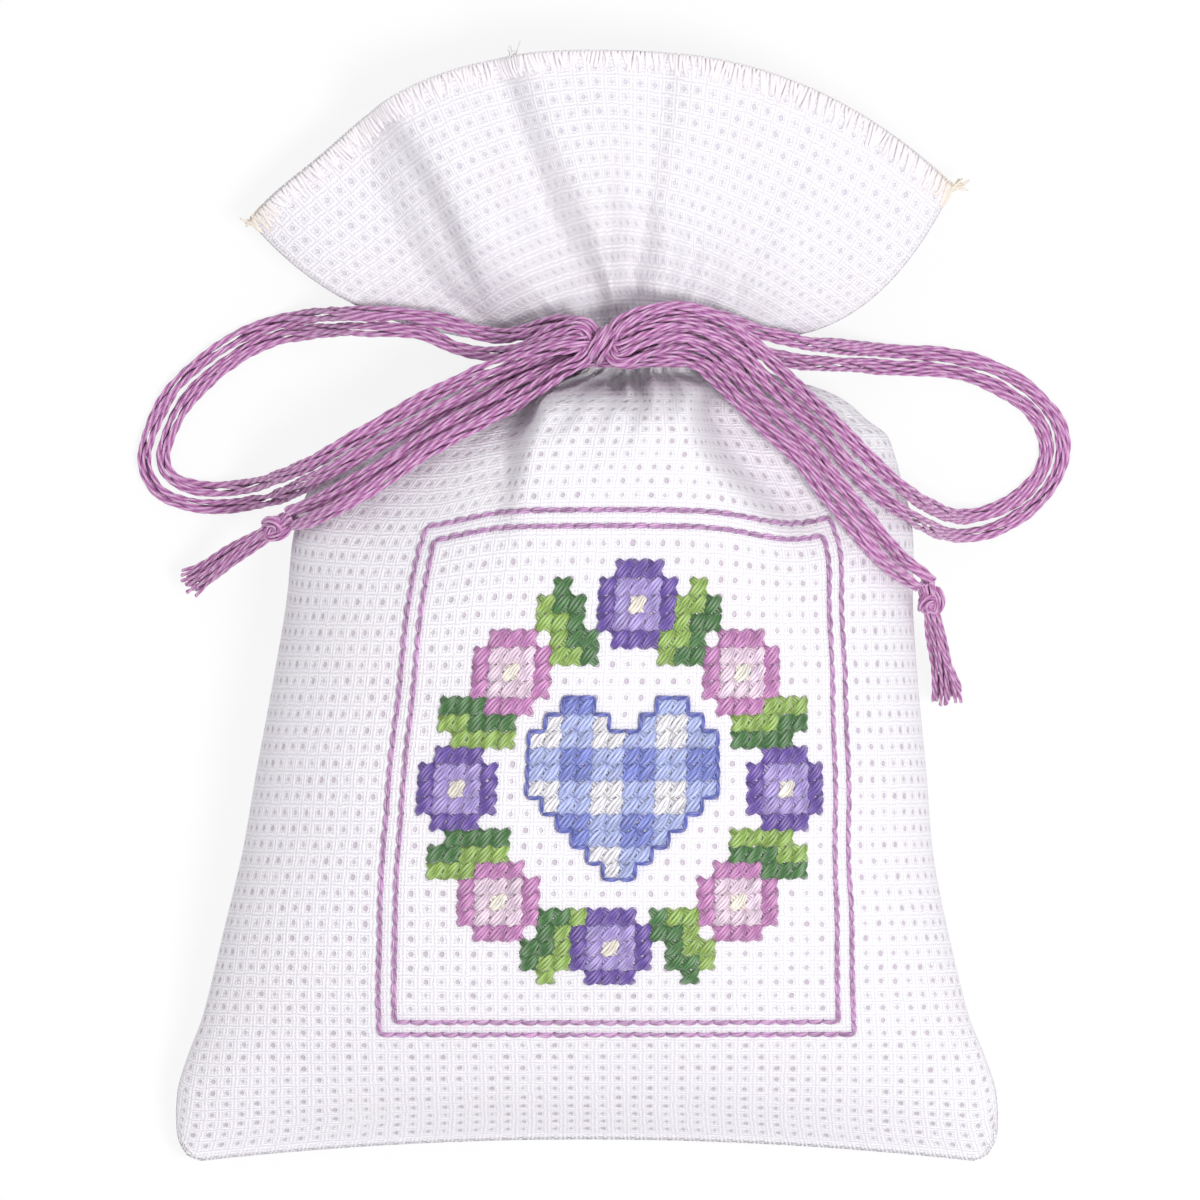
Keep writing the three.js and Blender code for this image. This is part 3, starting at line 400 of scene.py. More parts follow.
def body_points(u, s, side):
    """Body at u across and s along: an ellipse's half, x = middle + half width * sin(a) and
    z = seam height + height * cos(a) with a = 90 degrees * u, drawn in by the folds. The bottom fold
    is a shallow arch that turns up to the side seams in a quarter of an ellipse, and the seams rise
    with the distance from that fold."""
    angle = u * np.pi / 2
    cosine = np.maximum(np.cos(angle), 0)
    half = follow(HALF_WIDTHS, s) * CLOTH_WIDTH / 2
    x = follow(MIDDLES, s) * TIE_OFFSET + half * np.sin(angle)
    fade = np.maximum(0, 1 - s / CORNER_REACH) ** 2
    arch = BOTTOM_ARCH * cosine ** 2 * fade
    beyond = np.clip((np.abs(np.sin(angle)) - 1 + CORNER_SHARE) / CORNER_SHARE, 0, 1)
    corner = CORNER_ROUND * (1 - np.sqrt(1 - beyond ** 2)) * fade
    away = np.maximum(0, NECK_START - s)
    y = BOTTOM_Y + arch + corner + BODY_HEIGHT * s
    if side > 0:
        y = y - row_sag(u, away) * cosine ** 0.5 * np.minimum(1, away / 0.02)
        height, shape, share = FRONT_RISE * follow(FRONT_RISES, s), cosine, 1.0
        rise, beside = nose_relief(u, away)
    else:
        height, shape, share = BACK_DROP * follow(BACK_DROPS, s), cosine ** 0.75, 0.5
        rise, beside = 0, 0
    height = np.maximum(height, CLOTH_THICKNESS)
    drawn = share * fold_depth(BODY_FOLDS, u, away) + pleat_depth(u, away) + beside
    drawn = held_in(drawn, FOLD_ROOM * height + 0.1) * cosine ** 0.6
    drawn = drawn - crumple(u, away, BODY_CRUMPLE_REACH) * np.minimum(1, height / 6) * cosine
    lift = np.maximum(height * shape - drawn + rise, 0)
    seam = follow(SEAM_RISES, s + corner / BODY_HEIGHT) * SEAM_HEIGHT
    return np.stack([x, y, seam + side * lift], -1)


def flare_points(u, w, side):
    """Flared mouth at u across and w along: each column is a quadratic arc from the neck's ellipse to
    the rim, whose height falls off across as the cosine to a power."""
    angle = u * np.pi / 2
    cosine = np.maximum(np.cos(angle), 0)
    neck_x = TIE_OFFSET + NECK_WIDTH / 2 * np.sin(angle)
    rim_x = MOUTH_OFFSET + MOUTH_WIDTH / 2 * u
    drop = np.where(u < 0, LEFT_CORNER_DROP, RIGHT_CORNER_DROP) * np.abs(u) ** 2.5
    dent = RIM_DENT * np.exp(-((u - RIM_DENT_PLACE) / RIM_DENT_WIDTH) ** 2)
    rim_y = TOP_Y - drop - dent - (BACK_PEEK if side > 0 else 0)
    turn_x = mix(neck_x, rim_x, 0.62)
    turn_y = mix(NECK_TOP_Y, rim_y, mix(0.5, -0.1, np.abs(u) ** 1.5))
    x = neck_x * (1 - w) ** 2 + turn_x * 2 * w * (1 - w) + rim_x * w * w
    y = NECK_TOP_Y * (1 - w) ** 2 + turn_y * 2 * w * (1 - w) + rim_y * w * w
    height = mix(NECK_THICKNESS / 2, MOUTH_FRONT_RISE if side > 0 else MOUTH_BACK_DROP, w)
    shape = mix(cosine, cosine ** 0.7, w)
    share = 1.0 if side > 0 else 0.4
    drawn = share * fold_depth(FLARE_FOLDS, u, w) + pleat_depth(u, w * 0.45)
    drawn = held_in(drawn, FOLD_ROOM * height) * cosine ** 0.6
    drawn = drawn - crumple(u, w * 0.35, FLARE_CRUMPLE_REACH) * cosine
    if side > 0:
        drawn = drawn - ridge_rise(u, w) * cosine ** 0.6
    lift = np.maximum(height * shape - drawn, 0)
    return np.stack([x, y, mix(SEAM_HEIGHT, MOUTH_SEAM_HEIGHT, w) + side * lift], -1)


def panel_points(u, v, side):
    """Panel at u from -1 to 1 across and v from 0 at the bottom fold over 1 at the tie to 2 at the rim."""
    u, v = np.broadcast_arrays(u, v)
    body = body_points(u, np.minimum(v, 1), side)
    flare = flare_points(u, np.maximum(v - 1, 0), side)
    points = np.where((v <= 1)[..., None], body, flare)
    if side < 0:
        points[..., 2] = np.maximum(points[..., 2], 0)
    return points


def unit(vectors):
    """The same directions at length one."""
    return vectors / (np.linalg.norm(vectors, axis=-1, keepdims=True) + 1e-12)


def run_along(points, axis=0):
    """Length from the start to each point of some lines that follow the given axis."""
    steps = np.linalg.norm(np.diff(points, axis=axis), axis=-1)
    return np.insert(np.cumsum(steps, axis=axis), 0, 0, axis=axis)


def even_shares(points, axis):
    """Share of the way along each line of a grid of points, from 0 to 1, by length."""
    run = run_along(points, axis)
    return run / np.take(run, [-1], axis=axis)


@lru_cache(maxsize=None)
def cloth_grid(side, fine):
    """Points and outward normals of a panel on a grid with `fine` steps a weave block. The blocks share
    out the length of the cloth along and, row by row, across, so that the weave keeps its size where
    the cloth swells, folds and gathers. Beside a seam the normals are kept leaning out over it."""
    dense_u = np.linspace(-1, 1, 481)
    ease = (1 - np.cos(np.linspace(0, np.pi / 2, 181))) * 0.5
    dense_v = np.concatenate([ease[:-1], np.linspace(0.5, 2, 421)])
    middle = panel_points(np.linspace(-0.5, 0.5, 21)[None, :], dense_v[:, None], side)
    share = even_shares(middle, 0).mean(axis=1)
    v = np.interp(np.linspace(0, 1, ROWS * fine + 1), share, dense_v)
    across = even_shares(panel_points(dense_u[None, :], v[:, None], side), 1)
    even = np.linspace(0, 1, COLUMNS * fine + 1)
    u = np.stack([np.interp(even, row, dense_u) for row in across])
    if side < 0:
        u = u[:, ::-1]
    points = panel_points(u, v[:, None], side)
    normals = unit(np.cross(np.gradient(points, axis=1), np.gradient(points, axis=0)))
    by_seam = np.abs(u) > 0.9
    normals[..., 0] = np.where(by_seam, np.abs(normals[..., 0]) * np.sign(u), normals[..., 0])
    return points, normals


def between(grid, x, y):
    """A grid's value at places counted in its steps across and along."""
    x = np.clip(x, 0, grid.shape[1] - 1 - 1e-6)
    y = np.clip(y, 0, grid.shape[0] - 1 - 1e-6)
    i, j = x.astype(int), y.astype(int)
    fx, fy = (x - i)[..., None], (y - j)[..., None]
    return mix(mix(grid[j, i], grid[j, i + 1], fx), mix(grid[j + 1, i], grid[j + 1, i + 1], fx), fy)


def cloth_at(column, row):
    """Point and normal of the front at a place counted in weave blocks from its lower left corner."""
    points, normals = cloth_grid(1, FRONT_FINE)
    x, y = np.asarray(column, float) * FRONT_FINE, np.asarray(row, float) * FRONT_FINE
    return between(points, x, y), unit(between(normals, x, y))


def linear(color):
    """Linear red, green and blue of a colour as it looks on screen, each from 0 to 1."""
    c = np.asarray(color, float)
    return np.where(c <= 0.04045, c / 12.92, ((c + 0.055) / 1.055) ** 2.4)


def add_piece(name, node, material, slot_name, points, faces, uvs=None, tones=None):
    """A piece that rides on the bag and replaces one node of the part. `faces` is a list of index
    arrays, one for each number of corners, `uvs` holds one pair a corner in the same order, and
    `tones` one colour a point."""
    mesh = bpy.data.meshes.new(name)
    corners = np.concatenate([f.ravel() for f in faces]).astype(np.int32)
    sizes = np.concatenate([np.full(len(f), f.shape[1]) for f in faces])
    starts = np.concatenate([[0], np.cumsum(sizes)[:-1]]).astype(np.int32)
    mesh.vertices.add(len(points))
    mesh.vertices.foreach_set("co", (points * MM).astype(np.float32).ravel())
    mesh.loops.add(len(corners))
    mesh.loops.foreach_set("vertex_index", corners)
    mesh.polygons.add(len(sizes))
    mesh.polygons.foreach_set("loop_start", starts)
    mesh.update(calc_edges=True)
    if uvs is not None:
        layer = mesh.uv_layers.new(name="weave")
        layer.uv.foreach_set("vector", uvs.astype(np.float32).ravel())
    if tones is not None:
        layer = mesh.attributes.new("tone", "FLOAT_COLOR", "POINT")
        alpha = np.ones((len(points), 1))
        layer.data.foreach_set("color", np.concatenate([tones, alpha], 1).astype(np.float32).ravel())
    mesh.shade_smooth()
    mesh.materials.append(material)
    piece = bpy.data.objects.new(name, mesh)
    bpy.context.scene.collection.objects.link(piece)
    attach(piece, "root")
    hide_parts(node)
    return piece


def frames_along(paths, ups):
    """Unit vectors across and up at each point of some paths, up being near the given one."""
    along = unit(np.gradient(paths, axis=-2))
    across = unit(np.cross(ups, along))
    return across, np.cross(along, across)


def thread_mesh(paths, ups, radius, sides, turn, lobes=0.0, taper=None, closed=False):
    """Round or two-lobed threads along paths of shape (threads, points, 3). A ring's radius is
    radius * (1 - lobes + lobes * cos(2 (angle - turn))). Returns points, faces and one UV pair a
    corner: place round the thread, 0 to 1, less its turn, and length along in centimetres."""
    count, length = paths.shape[:2]
    across, up = frames_along(paths, ups)
    if closed:
        across[:, [0, -1]] = (across[:, [0]] + across[:, [-1]]) / 2
        up[:, [0, -1]] = (up[:, [0]] + up[:, [-1]]) / 2
    angle = 2 * np.pi * np.arange(sides) / sides
    reach = radius * (1 - lobes + lobes * np.cos(2 * (angle[None, None, :] - turn[..., None])))
    if taper is not None:
        reach = reach * taper[..., None]
    ring = (across[:, :, None] * np.cos(angle)[None, None, :, None]
            + up[:, :, None] * np.sin(angle)[None, None, :, None])
    points = paths[:, :, None] + ring * reach[..., None]
    rings = length - 1 if closed else length
    points = points[:, :rings].reshape(-1, 3)
    k = np.arange(sides)
    start = np.arange(count)[:, None, None] * rings * sides
    here = np.arange(length - 1)[None, :, None] * sides
    there = ((np.arange(length - 1) + 1) % rings)[None, :, None] * sides
    nearby = (k + 1)[None, None, :] % sides
    quads = np.stack(np.broadcast_arrays(start + here + k, start + here + nearby,
                                         start + there + nearby, start + there + k), -1)
    run = run_along(paths, 1)[..., None] / 10
    spin = turn[..., None] / (2 * np.pi)
    low, high = k / sides, (k + 1) / sides
    pair = [(low - spin[:, :-1], run[:, :-1]), (high - spin[:, :-1], run[:, :-1]),
            (high - spin[:, 1:], run[:, 1:]), (low - spin[:, 1:], run[:, 1:])]
    uvs = np.stack([np.stack(np.broadcast_arrays(a, b), -1) for a, b in pair], -2).reshape(-1, 2)
    faces = [quads.reshape(-1, 4)]
    if not closed:
        first = start[:, 0] + k[::-1]
        last = start[:, 0] + (length - 1) * sides + k
        faces += [first, last]
        uvs = np.concatenate([uvs, np.zeros((2 * count * sides, 2))])
    return points, faces, uvs


def join_threads(meshes):
    """Several thread meshes of the same kind as one: points, faces by size and UVs in that order."""
    offset = 0
    points, by_size, uv_by_size = [], {}, {}
    for mesh_points, faces, uvs in meshes:
        at = 0
        for f in faces:
            size = f.size
            by_size.setdefault(f.shape[1], []).append(f + offset)
            uv_by_size.setdefault(f.shape[1], []).append(uvs[at:at + size])
            at += size
        points.append(mesh_points)
        offset += len(mesh_points)
    sizes = sorted(by_size)
    return (np.concatenate(points), [np.concatenate(by_size[n]) for n in sizes],
            np.concatenate([np.concatenate(uv_by_size[n]) for n in sizes]))


class Nodes:
    """Short way to write the nodes of a material or world: each call adds one and returns its output."""

    def __init__(self, owner):
        owner.use_nodes = True
        self.owner = owner
        self.tree = owner.node_tree

    def link(self, value, socket):
        if isinstance(value, bpy.types.NodeSocket):
            self.tree.links.new(value, socket)
        else:
            socket.default_value = value

    def add(self, kind, output, inputs, **choices):
        """The named output of a new node with the given choices and inputs."""
        node = self.tree.nodes.new("ShaderNode" + kind)
        for name, choice in choices.items():
            setattr(node, name, choice)
        for name, value in inputs.items():
            self.link(value, node.inputs[name])
        return node.outputs[output]

    def math(self, operation, a, b=0.0, c=0.0):
        return self.add("Math", 0, {0: a, 1: b, 2: c}, operation=operation)

    def mul(self, a, b):
        return self.math("MULTIPLY", a, b)

    def sub(self, a, b):
        return self.math("SUBTRACT", a, b)

    def mul_add(self, a, b, c):
        return self.math("MULTIPLY_ADD", a, b, c)

    def step(self, value, low, high):
        """0 below low and 1 above high, smooth between them."""
        return self.add("MapRange", "Result", {"Value": value, "From Min": low, "From Max": high},
                        interpolation_type="SMOOTHSTEP")

    def noise(self, vector, scale, detail=2.0):
        return self.add("TexNoise", "Fac", {"Vector": vector, "Scale": scale, "Detail": detail})

    def random(self, vector):
        return self.add("TexWhiteNoise", "Value", {"Vector": vector}, noise_dimensions="2D")

    def join(self, x, y):
        return self.add("CombineXYZ", 0, {"X": x, "Y": y})

    def split(self, vector):
        parts = self.add("SeparateXYZ", "X", {0: vector}).node.outputs
        return parts["X"], parts["Y"]

    def blend(self, share, a, b, blend_type="MIX"):
        """Colour a where the share is 0, and b, or a times b, where it is 1."""
        a, b = (k if isinstance(k, bpy.types.NodeSocket) else (*k, 1) for k in (a, b))
        return self.add("Mix", "Result", {"Factor": share, "A": a, "B": b}, data_type="RGBA",
                        blend_type=blend_type)

    def place(self):
        return self.add("TexCoord", "Object", {})

    def weave(self):
        return self.add("UVMap", 0, {}, uv_map="weave")

    def tone(self):
        return self.add("Attribute", "Color", {}, attribute_name="tone")

    def finish(self, color, roughness=0.8, specular=0.3, sheen=0.0, height=None, distance=0.0001):
        """Sets the surface's colour and constants, and the height, if any, as its bump."""
        shader = self.tree.nodes["Principled BSDF"].inputs
        self.link(color, shader["Base Color"])
        shader["Roughness"].default_value = roughness
        shader["Sheen Weight"].default_value = sheen
        shader["Specular IOR Level"].default_value = specular
        if height is not None:
            bump = self.add("Bump", "Normal", {"Distance": distance, "Height": height})
            self.link(bump, shader["Normal"])
        return self.owner


def paint(name, color):
    """Nodes of a new material."""
    n = Nodes(bpy.data.materials.new(name))
    n.owner.diffuse_color = (*color, 1)
    return n


def cloth_material(settings):
    """Evenweave: a hole at each corner of the blocks, bars of four threads between the holes, upright
    beside them and level above and below, and a fine basket of threads in each block's middle."""
    n = paint("evenweave_cloth", settings.cloth_color)
    blocks = n.add("Mapping", 0, {"Vector": n.weave(), "Scale": (BLOCKS_A_UNIT, BLOCKS_A_UNIT, 1)})
    column, row = n.split(blocks)
    x = n.mul_add(n.sub(n.noise(blocks, 0.9, 1.0), 0.5), 0.22, column)
    y = n.mul_add(n.sub(n.noise(n.join(row, column), 1.1, 1.0), 0.5), 0.2, row)
    side_x = n.math("PINGPONG", x, 0.5)
    side_y = n.math("PINGPONG", y, 0.5)
    corner = n.join(n.math("ROUND", x), n.math("ROUND", y))
    chance = n.random(corner)
    mouth = n.step(row, NECK_ROW - 1.0, NECK_ROW + 3.0)
    smaller = n.mul_add(mouth, -0.15, 1.0)
    size_x = n.mul(n.mul_add(chance, 0.06, 0.09), smaller)
    size_y = n.mul(n.mul_add(chance, 0.05, 0.115), smaller)
    reach = n.math("ADD", n.math("POWER", n.math("DIVIDE", side_x, size_x), 4.0),
                   n.math("POWER", n.math("DIVIDE", side_y, size_y), 4.0))
    in_rows = n.mul(n.step(row, 0.4, 0.7), n.step(row, ROWS - 0.8, ROWS - 1.1))
    in_columns = n.mul(n.step(column, 0.3, 0.6), n.step(column, COLUMNS - 0.3, COLUMNS - 0.6))
    inside = n.mul(in_rows, in_columns)
    hole = n.mul(n.sub(1.0, n.step(reach, 0.4, 1.6)), inside)
    upright, level = (n.math("ABSOLUTE", n.math("SINE", n.mul(k, 4 * np.pi))) for k in (x, y))
    bar_x = n.mul(n.step(side_x, 0.14, 0.24), n.step(side_y, 0.42, 0.28))
    bar_y = n.mul(n.step(side_y, 0.16, 0.26), n.step(side_x, 0.4, 0.26))
    over = n.mul(n.math("SINE", n.mul(x, 4 * np.pi)), n.math("SINE", n.mul(y, 4 * np.pi)))
    basket = n.math("MAXIMUM", n.mul(upright, n.step(over, -0.4, 0.0)),
                    n.mul(level, n.step(over, 0.4, 0.0)))
    thread = n.math("MAXIMUM", n.mul(upright, bar_x),
                    n.math("MAXIMUM", n.mul(level, bar_y), n.mul(basket, 0.9)))
    fluff = n.noise(n.place(), 6500.0, 3.0)
    thread = n.mul_add(n.sub(fluff, 0.5), 0.7, thread)
    thread = n.mul(thread, n.sub(1.0, hole))
    height = n.sub(thread, n.mul(hole, 0.4))
    # Painted shade: the gaps between threads are darkened towards the gap colour
    gap_shade = n.mul(n.sub(n.sub(1.0, thread), hole), settings.gap_shade_strength)
    patchy = n.noise(n.place(), 90.0, 3.0)
    tint = n.blend(n.mul(n.step(patchy, 0.4, 0.75), 0.35), linear(settings.cloth_color),
                   linear(settings.cloth_warm_color))
    color = n.blend(gap_shade, tint, linear(settings.thread_gap_shade_color))
    # Painted shade in the holes: the shaded inside of the bag, lighter in the mouth where only cloth lies
    # behind
    deep = n.mul(hole, n.mul_add(n.random(corner), 0.35, 0.65))
    behind = n.blend(mouth, linear(settings.hole_shade_color), linear(settings.mouth_hole_shade_color))
    color = n.blend(deep, color, behind)
    return n.finish(color, 0.9, 0.15, 0.1, height, 0.00008)


def floss_material(name, settings, color=None, crease_shade_share=None):
    """Stranded floss: the thread's own tone, a painted highlight on the crowns of its two plies, painted
    shade in the crease between them, darker in slow patches along it, and fine fibres as bump."""
    n = paint(name, settings.cord_color if color is None else color)
    u, v = n.split(n.weave())
    ply = n.math("ABSOLUTE", n.math("COSINE", n.mul(u, 2 * np.pi)))
    # Painted shade in the crease between the two plies
    crease = n.sub(1.0, n.step(ply, 0.0, settings.crease_shade_width))
    patches = n.noise(n.join(n.mul(u, 2.0), n.mul(v, 9.0)), 1.4, 3.0)
    fibre = n.noise(n.join(n.mul(u, 24.0), n.mul(v, 6.0)), 1.0, 2.0)
    base = n.tone() if color is None else linear(color)
    # Painted highlight: the crowns of the plies are paled towards the highlight colour
    crown_highlight_share = settings.stitch_crown_highlight_share if color is None else settings.crown_highlight_share
    crown = n.mul(n.step(ply, 0.86, 1.0), crown_highlight_share)
    base = n.blend(crown, base, linear(settings.crown_highlight_color))
    # The painted crease shade and the slow patches multiply the colour by the crease shade colour
    strength = settings.crease_shade_share if crease_shade_share is None else crease_shade_share
    share = n.mul(n.mul_add(n.step(patches, 0.45, 0.7), 0.3, crease), strength)
    crease_shade_color = settings.stitch_crease_shade_color if color is None else settings.crease_shade_color
    shade = n.blend(n.math("MINIMUM", share, 1.0), base, linear(crease_shade_color), "MULTIPLY")
    height = n.mul_add(fibre, 0.5, n.mul(ply, 0.5))
    return n.finish(shade, 0.5, 0.4, 0.3, height, 0.00006)


def bud_material(settings):
    """Dried buds: small grains in greyed violets and straw, from a cell pattern."""
    n = paint("dried_buds", settings.bud_color)
    from_seed = n.add("TexVoronoi", "Distance", {"Vector": n.place(), "Scale": 420.0})
    grain = n.noise(n.place(), 260.0, 3.0)
    color = n.blend(n.step(grain, 0.4, 0.65), linear(settings.bud_color), linear(settings.straw_color))
    return n.finish(color, 0.95, height=n.sub(1.0, from_seed), distance=0.0004)


def color_property(name, description, default):
    """A colour as it looks on screen."""
    return FloatVectorProperty(name=name, description=description, default=default, size=3,
                               subtype="COLOR_GAMMA", min=0, max=1)


def share_property(name, description, default):
    """A share from 0 to 1."""
    return FloatProperty(name=name, description=description, default=default, min=0, max=1,
                         subtype="FACTOR")


class ClothSettings(PropertyGroup):
    """Sizes and colours of the cloth bag."""

    cloth_color: color_property("Cloth", "Colour of the cotton cloth", (0.955, 0.945, 0.962))
    cloth_warm_color: color_property(
        "Cloth, warm", "Slightly warmer patches of the cloth", (0.945, 0.925, 0.93))
    # Painted shade seen between two threads
    thread_gap_shade_color: color_property(
        "Between threads", "Colour seen between two threads", (0.8, 0.77, 0.82))
    # Painted shade seen through the holes, on the body and in the mouth
    hole_shade_color: color_property("Holes", "Colour seen in the holes of the weave", (0.77, 0.72, 0.77))
    mouth_hole_shade_color: color_property(
        "Holes of the mouth", "Colour seen in the holes where only cloth lies behind", (0.84, 0.82, 0.87))
    # How strong the painted shade between threads is
    gap_shade_strength: share_property(
        "Thread contrast", "How much darker the gaps between threads are", 0.48)
    dimple: FloatProperty(
        name="Dimple", description="Depth of a hole's dimple in millimetres", default=0.12, min=0, max=1)
    edging_pitch: FloatProperty(
        name="Rim stitch pitch", description="Distance between two rim stitches in weave blocks",
        default=0.24, min=0.1, max=2)
    edging_color: color_property(
        "Rim and seam thread", "Colour of the thread over the rims and in the seams", (0.96, 0.94, 0.95))
    frayed_color: color_property(
        "Frayed corners", "Colour of the thread at the mouth's two corners", (0.94, 0.9, 0.84))
    bud_color: color_property("Buds", "Colour of the dried buds", (0.42, 0.37, 0.5))
    straw_color: color_property("Stalks", "Colour of the dried stalks among the buds", (0.55, 0.5, 0.4))


class FlossSettings(PropertyGroup):
    """Sizes and colours of the bow's cords and of the embroidery floss."""

    cord_color: color_property("Cord", "Colour of the bow's floss", (0.765, 0.52, 0.725))
    border_color: color_property("Border", "Colour of the border's back stitches", (0.76, 0.585, 0.75))
    heart_outline: color_property("Heart outline", "Colour of the line round the heart", (0.4, 0.44, 0.74))
    heart_dark: color_property(
        "Heart, dark checks", "Colour of the heart's darkest checks", (0.5, 0.55, 0.82))
    heart_middle: color_property(
        "Heart, middle checks", "Colour of the heart's middle checks", (0.7, 0.75, 0.91))
    heart_light: color_property(
        "Heart, light checks", "Colour of the heart's lightest checks", (0.93, 0.93, 0.93))
    violet_color: color_property("Violet petals", "Colour of the violet blossoms", (0.44, 0.34, 0.66))
    violet_light: color_property(
        "Violet blossoms' middles", "Colour of the violet blossoms' middles", (0.68, 0.62, 0.84))
    eye_color: color_property(
        "Blossoms' eyes", "Colour of the stitch in each blossom's middle", (0.95, 0.93, 0.86))
    pink_color: color_property("Pink petals", "Colour of the pink blossoms", (0.79, 0.54, 0.74))
    pink_light: color_property(
        "Pink blossoms' middles", "Colour of the pink blossoms' middles", (0.93, 0.85, 0.9))
    leaf_dark: color_property("Leaves, dark", "Colour of the leaves' shaded half", (0.3, 0.5, 0.27))
    leaf_light: color_property("Leaves, light", "Colour of the leaves' light half", (0.6, 0.74, 0.36))
    # Painted shade in the creases between plies, for the cords and for the embroidery
    crease_shade_color: color_property(
        "Creases", "What the creases between plies multiply the colour by", (0.66, 0.42, 0.64))
    stitch_crease_shade_color: color_property(
        "Creases of stitches", "What the creases of the embroidery multiply its colour by",
        (0.68, 0.64, 0.72))
    # How far the painted crease shade reaches
    crease_shade_width: share_property(
        "Crease width", "How far the crease reaches up a ply's side", 0.75)
    # Painted highlight on the crowns of the plies, and how strong it is on the cords and in the embroidery
    crown_highlight_color: color_property(
        "Crowns", "Pale colour of the floss where a ply faces outwards", (0.96, 0.88, 0.94))
    crown_highlight_share: share_property(
        "Crown strength", "How pale the crown of a ply is", 0.38)
    stitch_crown_highlight_share: share_property(
        "Crown strength of stitches", "How pale the crown of a ply is in the embroidery", 0.16)
    # How dark the painted crease shade is
    crease_shade_share: share_property(
        "Crease strength", "How dark the crease between two plies is", 0.75)
    strands: IntProperty(
        name="Strands", description="Strands in each cord", default=8, min=3, max=8)
    strand_diameter: FloatProperty(
        name="Strand diameter", description="Diameter of one strand in millimetres",
        default=0.44, min=0.2, max=1)
    ply_pitch: FloatProperty(
        name="Ply pitch", description="Length in millimetres in which a strand's plies turn once",
        default=3.4, min=0.5, max=10)
    lay_pitch: FloatProperty(
        name="Lay pitch", description="Length in millimetres in which a cord's strands turn once",
        default=34.0, min=5, max=200)


class StageSettings(PropertyGroup):
    """Camera, floor and light."""

    lens: FloatProperty(
        name="Lens", description="Focal length of the camera in millimetres", default=400, min=50, max=1000)
    view_width: FloatProperty(
        name="View width", description="Width that the picture covers at the bag, in metres",
        default=0.11637, min=0.05, max=1, unit="LENGTH")
    key_power: FloatProperty(
        name="Key light", description="Power of the soft light at the upper right, in watts",
        default=1.6, min=0, max=100)
    sky: FloatProperty(
        name="Sky", description="Strength of the light from all round", default=0.67, min=0, max=2)


def settings_of(context):
    """The settings of the cloth, the floss and the stage."""
    scene = context.scene
    return scene.sachet_cloth, scene.sachet_floss, scene.sachet_stage


def smooth_route(route, step):
    """Points `step` millimetres apart on the curve through a route: on each span a cubic whose end
    slopes come from the square roots of the distances between its points."""
    given = np.array(route, float)
    ends = np.concatenate([[2 * given[0] - given[1]], given, [2 * given[-1] - given[-2]]])
    p0, p1, p2, p3 = ends[:-3], ends[1:-2], ends[2:-1], ends[3:]
    d0, d1, d2 = (np.sqrt(np.linalg.norm(b - a, axis=1))[:, None]
                  for a, b in ((p0, p1), (p1, p2), (p2, p3)))
    start = ((p1 - p0) / d0 - (p2 - p0) / (d0 + d1) + (p2 - p1) / d1) * d1
    end = ((p2 - p1) / d1 - (p3 - p1) / (d1 + d2) + (p3 - p2) / d2) * d1
    t = np.linspace(0, 1, 25)[None, :-1, None]
    curve = (p1[:, None] * (1 + 2 * t) * (1 - t) ** 2 + start[:, None] * t * (1 - t) ** 2
             + p2[:, None] * t * t * (3 - 2 * t) + end[:, None] * t * t * (t - 1))
    points = np.concatenate([curve.reshape(-1, 3), given[-1:]])
    return even_points(points, step)


def even_points(points, step):
    """The same line with its points `step` apart."""
    run = run_along(points)
    at = np.linspace(0, run[-1], max(int(round(run[-1] / step)), 4) + 1)
    return np.stack([np.interp(at, run, points[:, k]) for k in range(3)], 1)


def carried_up(path, start=(0, 0, 1)):
    """An up direction carried along a path without twisting: at each point the one before, less its
    share along the path."""
    up = np.array(start, float)
    ups = []
    for direction in unit(np.gradient(path, axis=0)):
        up = unit(up - direction * (up @ direction))
        ups.append(up)
    return np.array(ups)


def bundle(path, up, floss, diameter, seed, lay_turns=None, loose=0.0, closed=False, spread=None,
           flatness=1.0):
    """Strands laid side by side in a ring about a path, turning slowly round it, each of two plies
    that turn faster. `loose` lets the strands wander by that share of their distance from the path,
    `spread` adds a share to that distance along the way, `flatness` is the ring's height over its
    width, and a closed bundle ends where it starts."""
    chance = np.random.default_rng(seed)
    strands = floss.strands
    run = run_along(path)
    turns = run[-1] / floss.lay_pitch if lay_turns is None else lay_turns
    along = run / run[-1]
    radius = diameter / (2 + 2 / np.sin(np.pi / strands)) / np.sin(np.pi / strands)
    thick = radius * np.sin(np.pi / strands)
    phase = chance.uniform(0, 2 * np.pi, (strands, 4))
    waves = 0 if closed else 1
    slow = np.sin(2 * np.pi * run[None] / WANDER_WAVES[0] + phase[:, [0]]) * waves
    slower = np.sin(2 * np.pi * run[None] / WANDER_WAVES[1] + phase[:, [1]]) * waves
    angle = (2 * np.pi * (np.arange(strands)[:, None] / strands + turns * along[None])
             + 0.22 * slow + 0.3 * slower)
    away = radius * (1 + 0.1 * slower + loose * slow)
    if spread is not None:
        away = away * (1 + spread[None])
    across, upright = frames_along(path[None], up[None])
    centre = path[None] + away[..., None] * (np.cos(angle)[..., None] * across
                                             + flatness * np.sin(angle)[..., None] * upright)
    if closed:
        plies = max(round(run[-1] / floss.ply_pitch), 1)
        turn = -2 * np.pi * plies * along[None] + np.zeros((strands, 1))
    else:
        turn = phase[:, [2]] - 2 * np.pi * run[None] / floss.ply_pitch
    ups = np.broadcast_to(upright, centre.shape)
    return thread_mesh(centre, ups, thick * 1.1, CORD_SIDES, turn, CORD_LOBES, closed=closed)


